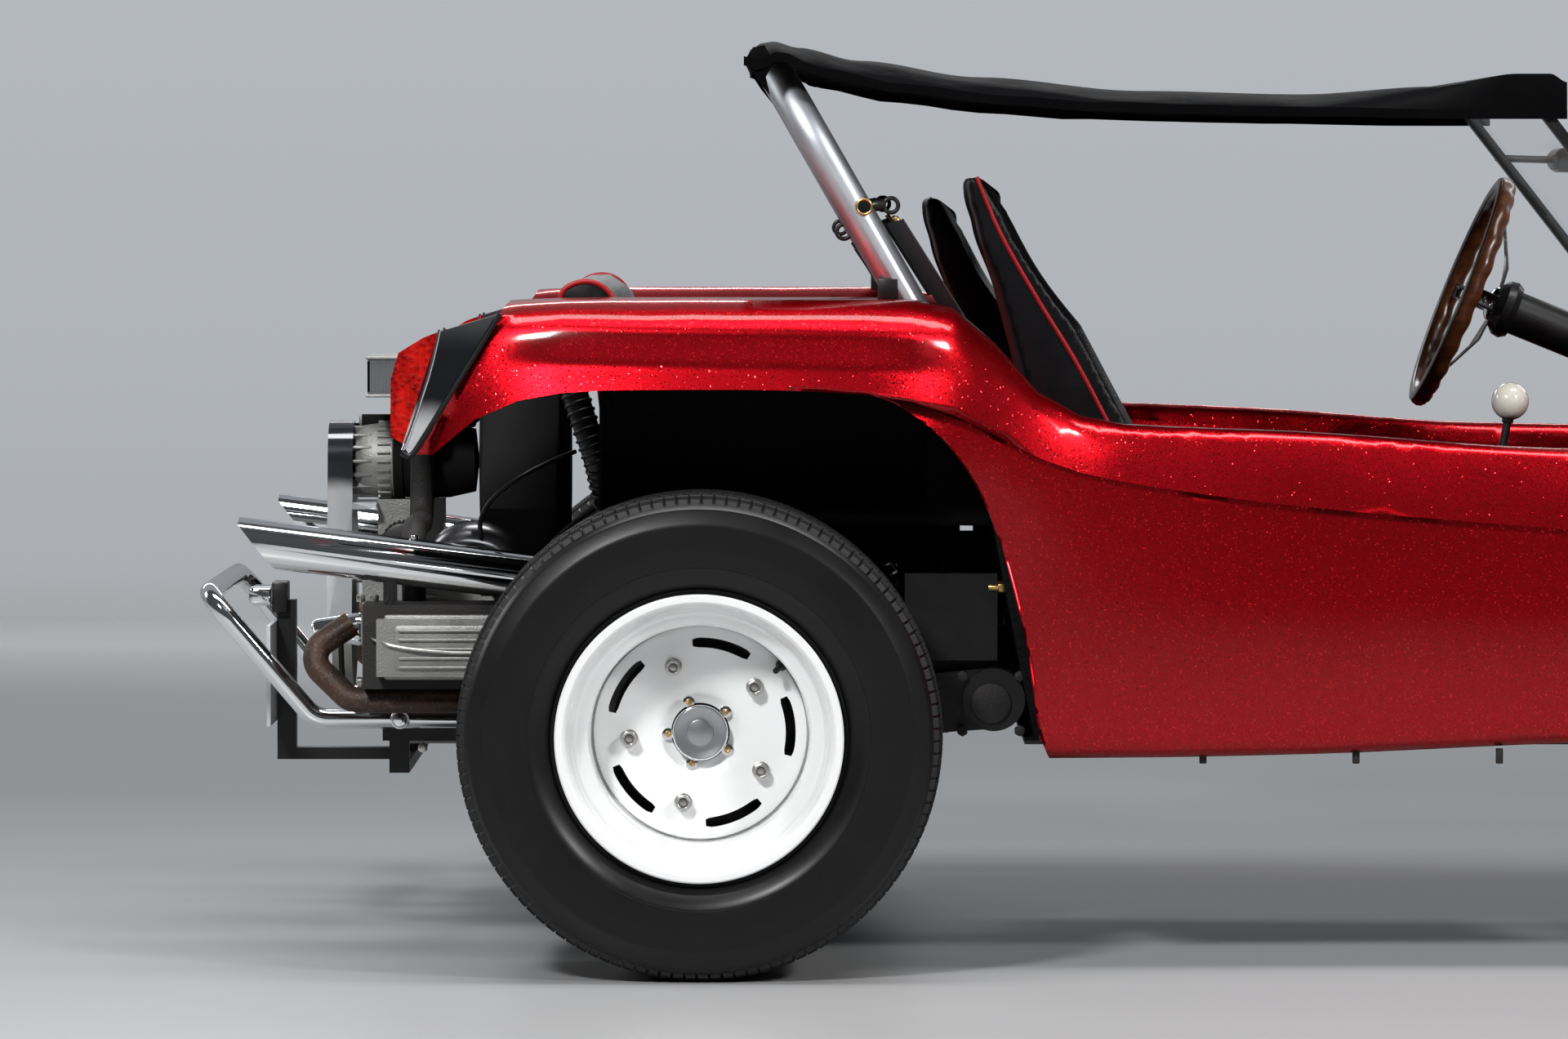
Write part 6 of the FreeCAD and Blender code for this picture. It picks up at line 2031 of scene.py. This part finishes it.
@dataclass
class RunningGear:
    """Spring-plate bolts, pivots, brake pipes and the studs under the panels."""

    plate_bolts: Outline = ((381, 336), (465, 336), (381, 416), (465, 416))
    panel_studs: tuple[float, ...] = (728, 950, 1158, 1380)
    brake_line: tuple[Point, ...] = ((150, 300, 400), (130, 400, 430), (60, 470, 440), (30, 540, 420))

    def make(self) -> None:
        """Adds the small hardware."""
        bolts, brass = [], []
        for side, _ in SIDES:
            for x, z in self.plate_bolts:
                bolts.append(bar("bolt", (x, side * 474, z), (x, side * 487, z), 0.0085, 6, 0.001))
            bolts.append(bar("boss", (423, side * 474, 376), (423, side * 484, 376), 0.030, 32, 0.003))
            y, z = side * 447, 544
            brass.append(bar("nut", (434, y, z), (444, y, z), 0.0105, 6, 0.001))
            brass.append(bar("stud", (420, y, z), (452, y, z), 0.005, 12, 0.0005))
            for x in self.panel_studs:
                bolts.append(bar("stud", (x, side * 585, 318), (x, side * 585, 296), 0.006, 6, 0.001))
        trays = [
            box("tray", (150, -60, 560), (386, 60, 652), 0.003),
            box("tray", (408, -60, 600), (430, 60, 652), 0.002),
            box("tray", (360, -120, 470), (450, 120, 602), 0.002),
        ]
        dress(join(trays, "wiring_tray"), Look.MATT)
        dress(join(bolts, "pan_bolts"), Look.IRON)
        dress(join(brass, "cable_nuts"), Look.BRASS)
        for side, tag in SIDES:
            line = [(x, side * y, z) for x, y, z in self.brake_line]
            dress(hose(f"brake_hose_{tag}", line, 0.0055), Look.RUBBER)


@dataclass
class Studio:
    """The pale floor and backdrop, the soft lamps and the camera."""

    eye: Point = (-0.840, -11.315, 1.130)
    pitch: float = 2.56
    yaw: float = 0.16
    lens: float = 170.16
    # The floor's colour from front to back, darker in the middle distance and paler near and far: painted
    # light falloff and shade.
    floor_painted_light: tuple[tuple[float, Colour], ...] = (
        (0.0, (0.39, 0.39, 0.395)),
        (0.27, (0.315, 0.32, 0.325)),
        (0.54, (0.255, 0.265, 0.275)),
        (0.80, (0.235, 0.245, 0.255)),
        (0.93, (0.30, 0.31, 0.32)),
        (1.0, (0.37, 0.38, 0.39)),
    )
    # The wall's glow from foot to top, darker towards its foot: painted shade.
    wall_painted_glow: tuple[tuple[float, Colour], ...] = (
        (0.0, (0.37, 0.385, 0.40)),
        (0.05, (0.40, 0.42, 0.44)),
        (0.25, (0.43, 0.452, 0.475)),
        (0.6, (0.455, 0.478, 0.505)),
        (1.0, (0.46, 0.485, 0.515)),
    )

    @staticmethod
    def board(name: str, sheet: ShaderSheet, wide: float, deep: float, where: Point, rise: float) -> Piece:
        """A large flat board with a painted face.

        Args:
            name: The board's name.
            sheet: Its material's sheet.
            wide: Its width.
            deep: Its depth.
            where: Its middle.
            rise: Degrees that it is tipped up.

        Returns:
            The board.
        """
        deselect()
        bpy.ops.mesh.primitive_plane_add(size=1, location=where, rotation=(math.radians(rise), 0, 0))
        board = bpy.context.object
        board.scale = (wide, deep, 1)
        settle(board)
        board.name = name
        board.data.materials.append(sheet.material)
        return board

    @staticmethod
    def graded(
        sheet: ShaderSheet, axis: int, stops: tuple[tuple[float, Colour], ...], low: float, high: float,
    ) -> Channel:
        """Colours that change along an axis of the board.

        Args:
            sheet: The board's material.
            axis: Nought, one or two for X, Y or Z.
            stops: Shares of the way and their colours.
            low: Where the first colour is.
            high: Where the last one is.

        Returns:
            The colour.
        """
        inputs = {"Value": sheet.axis(sheet.place(), axis), "From Min": low, "From Max": high}
        share = sheet.add("MapRange", {}, inputs)
        return sheet.add("ValToRGB", {"stops": stops}, {"Fac": share})

    def shell(self) -> None:
        """A floor that runs back to a wall, which glows only for the camera and the bright parts. The floor's
        graded colour is painted light falloff and shade, and the wall's graded glow is painted light, darker
        towards its foot.
        """
        sheet = ShaderSheet("floor_paint")
        colour = self.graded(sheet, 1, self.floor_painted_light, -2.0, 7.0)
        cloud = sheet.noise(0.6, 3)
        sheet.surface({"Base Color": colour, "Roughness": cloud * 0.08 + 0.26, "Specular IOR Level": 0.16})
        floor = self.board("studio_floor", sheet, 70, 60, (0, 0, 0), 0)
        sheet = ShaderSheet("wall_paint")
        colour = self.graded(sheet, 2, self.wall_painted_glow, 0.0, 2.4)
        paths = [
            sheet.add("LightPath", {}, {}, name)
            for name in ("Is Camera Ray", "Is Glossy Ray", "Is Transmission Ray")
        ]
        seen = paths[0] + paths[1] * 0.6 + paths[2]
        glow = sheet.add("Emission", {}, {"Color": colour, "Strength": 1.0})
        dull = sheet.add("BsdfDiffuse", {}, {"Color": (0.02, 0.02, 0.02, 1)})
        front = sheet.add("MixShader", {}, {0: seen, 1: dull, 2: glow})
        behind = sheet.add("NewGeometry", {}, {}, "Backfacing")
        through = sheet.add("BsdfTransparent", {}, {})
        mixed = sheet.add("MixShader", {}, {0: behind, 1: front, 2: through})
        sheet.links.new(mixed.socket, sheet.output.inputs["Surface"])
        wall = self.board("studio_wall", sheet, 70, 24, (0, 8.2, 11.9), 90)

    def lamp(self, name: str, at: Point, to: Point, wide: float, high: float, power: float) -> None:
        """One soft rectangular lamp.

        Args:
            name: The lamp's name.
            at: Where it hangs.
            to: What it faces.
            wide: Width of its face.
            high: Height of its face.
            power: Its power in watts.
        """
        data = bpy.data.lights.new(name, "AREA")
        data.shape = "RECTANGLE"
        data.size = wide
        data.size_y = high
        data.energy = power
        lamp = bpy.data.objects.new(name, data)
        bpy.context.scene.collection.objects.link(lamp)
        lamp.location = at
        lamp.rotation_euler = (Vector(to) - Vector(at)).to_track_quat("-Z", "Y").to_euler()

    @staticmethod
    def air() -> None:
        """A faint light from all round, behind a pale sky that only the camera sees."""
        world = bpy.data.worlds.new("studio_air")
        bpy.context.scene.world = world
        world.use_nodes = True
        nodes, links = world.node_tree.nodes, world.node_tree.links
        air = nodes["Background"]
        air.inputs["Color"].default_value = (0.60, 0.62, 0.66, 1)
        air.inputs["Strength"].default_value = 0.10
        seen = nodes.new("ShaderNodeBackground")
        seen.inputs["Color"].default_value = (0.46, 0.485, 0.515, 1)
        path, mixed = nodes.new("ShaderNodeLightPath"), nodes.new("ShaderNodeMixShader")
        links.new(path.outputs["Is Camera Ray"], mixed.inputs[0])
        links.new(air.outputs[0], mixed.inputs[1])
        links.new(seen.outputs[0], mixed.inputs[2])
        links.new(mixed.outputs[0], nodes["World Output"].inputs["Surface"])

    def camera(self) -> None:
        """The camera, where the photograph was taken from."""
        data = bpy.data.cameras.new("camera")
        data.lens = self.lens
        data.sensor_width = 36
        data.clip_end = 100
        camera = bpy.data.objects.new("camera", data)
        bpy.context.scene.collection.objects.link(camera)
        camera.location = self.eye
        camera.rotation_euler = (math.radians(90 - self.pitch), 0, math.radians(self.yaw))
        bpy.context.scene.camera = camera
        bpy.context.scene.view_settings.view_transform = "Standard"

    def make(self) -> None:
        """Sets everything up."""
        self.shell()
        self.lamp("top_lamp", (-0.4, -0.9, 4.5), (-0.4, -0.2, 0.5), 5.0, 1.0, 195)
        self.lamp("key_left", (-3.2, -5.3, 4.4), (-0.6, 0, 0.5), 0.8, 0.8, 330)
        self.lamp("key_right", (3.8, -4.8, 4.1), (0.0, 0, 0.5), 0.8, 0.8, 235)
        self.lamp("rear_lamp", (-6.0, 1.0, 2.8), (-1.2, 0, 0.6), 1.0, 1.6, 50)
        self.lamp("far_floor", (0.0, 6.9, 4.2), (0.0, 6.9, 0.0), 14.0, 1.2, 470)
        self.air()
        self.camera()


NODE_LOOKS: dict[Look, tuple[str, ...]] = {
    Look.RED: ("body_shell", "side_panel_left", "side_panel_right", "dash"),
    Look.WHITE: ("rim_rear_left", "rim_rear_right", "rim_front_left", "rim_front_right"),
    Look.RUBBER: ("tyre_rear_left", "tyre_rear_right", "tyre_front_left", "tyre_front_right"),
    Look.HOOP: ("windscreen_frame", "roll_bar"),
    Look.GLASS: ("windscreen_glass",),
    Look.PLASTIC: ("mirror",),
    Look.CANVAS: ("canvas_top",),
    Look.SEAT: ("seat_left", "seat_right", "rear_bench"),
    Look.WOOD: ("steering_wheel",),
    Look.CHROME: ("shifter", "head_lamps", "mufflers", "rear_bumper", "front_bumper", "belt_guard"),
    Look.SMOKE: ("tail_lamp_housings",),
    Look.LENS: ("tail_lamp_lenses",),
    Look.RUST: ("headers",),
    Look.PLATE: ("plate",),
    Look.IRON: (
        "knuckle_left", "knuckle_right", "pitman_arm", "cylinders", "drum_rear_left", "drum_rear_right",
        "drum_front_left", "drum_front_right",
    ),
    Look.ALLOY: ("transaxle", "engine_case", "valve_covers", "alternator", "carburettor"),
    Look.PAPER: ("air_cleaner",),
}

SMOOTH_NODES: dict[str, Look] = {
    "roll_bar": Look.HOOP,
    "rear_bumper": Look.CHROME,
    "front_bumper": Look.CHROME,
    "mufflers": Look.CHROME,
    "headers": Look.RUST,
    "belt_guard": Look.GUARD,
    "head_lamps": Look.CHROME,
    "tail_lamp_housings": Look.SMOKE,
    "tail_lamp_lenses": Look.LENS,
    "mirror": Look.PLASTIC,
    "windscreen_frame": Look.BLACK,
    "fan_shroud": Look.MATT,
    "carburettor": Look.IRON,
}


def dress_nodes() -> None:
    """Gives every solid its finish: black paint, where no other is listed."""
    looks = {name: look for look, names in NODE_LOOKS.items() for name in names}
    for name, node in FRAME["nodes"].items():
        node.data.materials.clear()
        node.data.materials.append(looks.get(name, Look.BLACK).material())


def make_wheels() -> None:
    """Builds the four wheels."""
    ends = (
        ("rear", (REAR_AXLE_X, 0.685, 0.348), 0.290, (131, 1), (0.0002, 0.015)),
        ("front", (FRONT_AXLE_X, 0.700, 0.318), 0.196, (83, 27), (-0.0258, -0.011)),
    )
    for side, tag in SIDES:
        wheels = [
            (f"{end}_{tag}", (x, side * y, z), wide, rim, trim) for end, (x, y, z), wide, rim, trim in ends
        ]
        for name, centre, wide, _, _ in wheels:
            Tyre(f"tyre_{name}", f"wheel_{name}", centre, centre[2], wide).make()
        for name, centre, _, rim, _ in wheels:
            Rim(f"rim_{name}", f"wheel_{name}", centre, side, *rim).make()
        for name, centre, _, _, trim in wheels:
            WheelTrim(f"wheel_{name}", centre, side, *trim).make()


def main() -> None:
    """Builds every group in turn."""
    logging.basicConfig(level=logging.INFO, format="%(message)s")
    dress_nodes()
    make_wheels()
    Skin.make()
    cover = Bucket.cover()
    Bucket("seat_right", (0, 0, 0), Look.SEAT).make(cover)
    Bucket("seat_left", (-53, 570, -31), Look.SEAT).make(cover)
    bpy.data.objects.remove(cover)
    for group in (
        RearBench(), Canopy(), HoopFittings(), TailLamps(), Engine(), RearEnd(), SteeringWheel(), Cockpit(),
        Nose(), RunningGear(), Studio(),
    ):
        group.make()


if __name__ == "__main__":
    main()
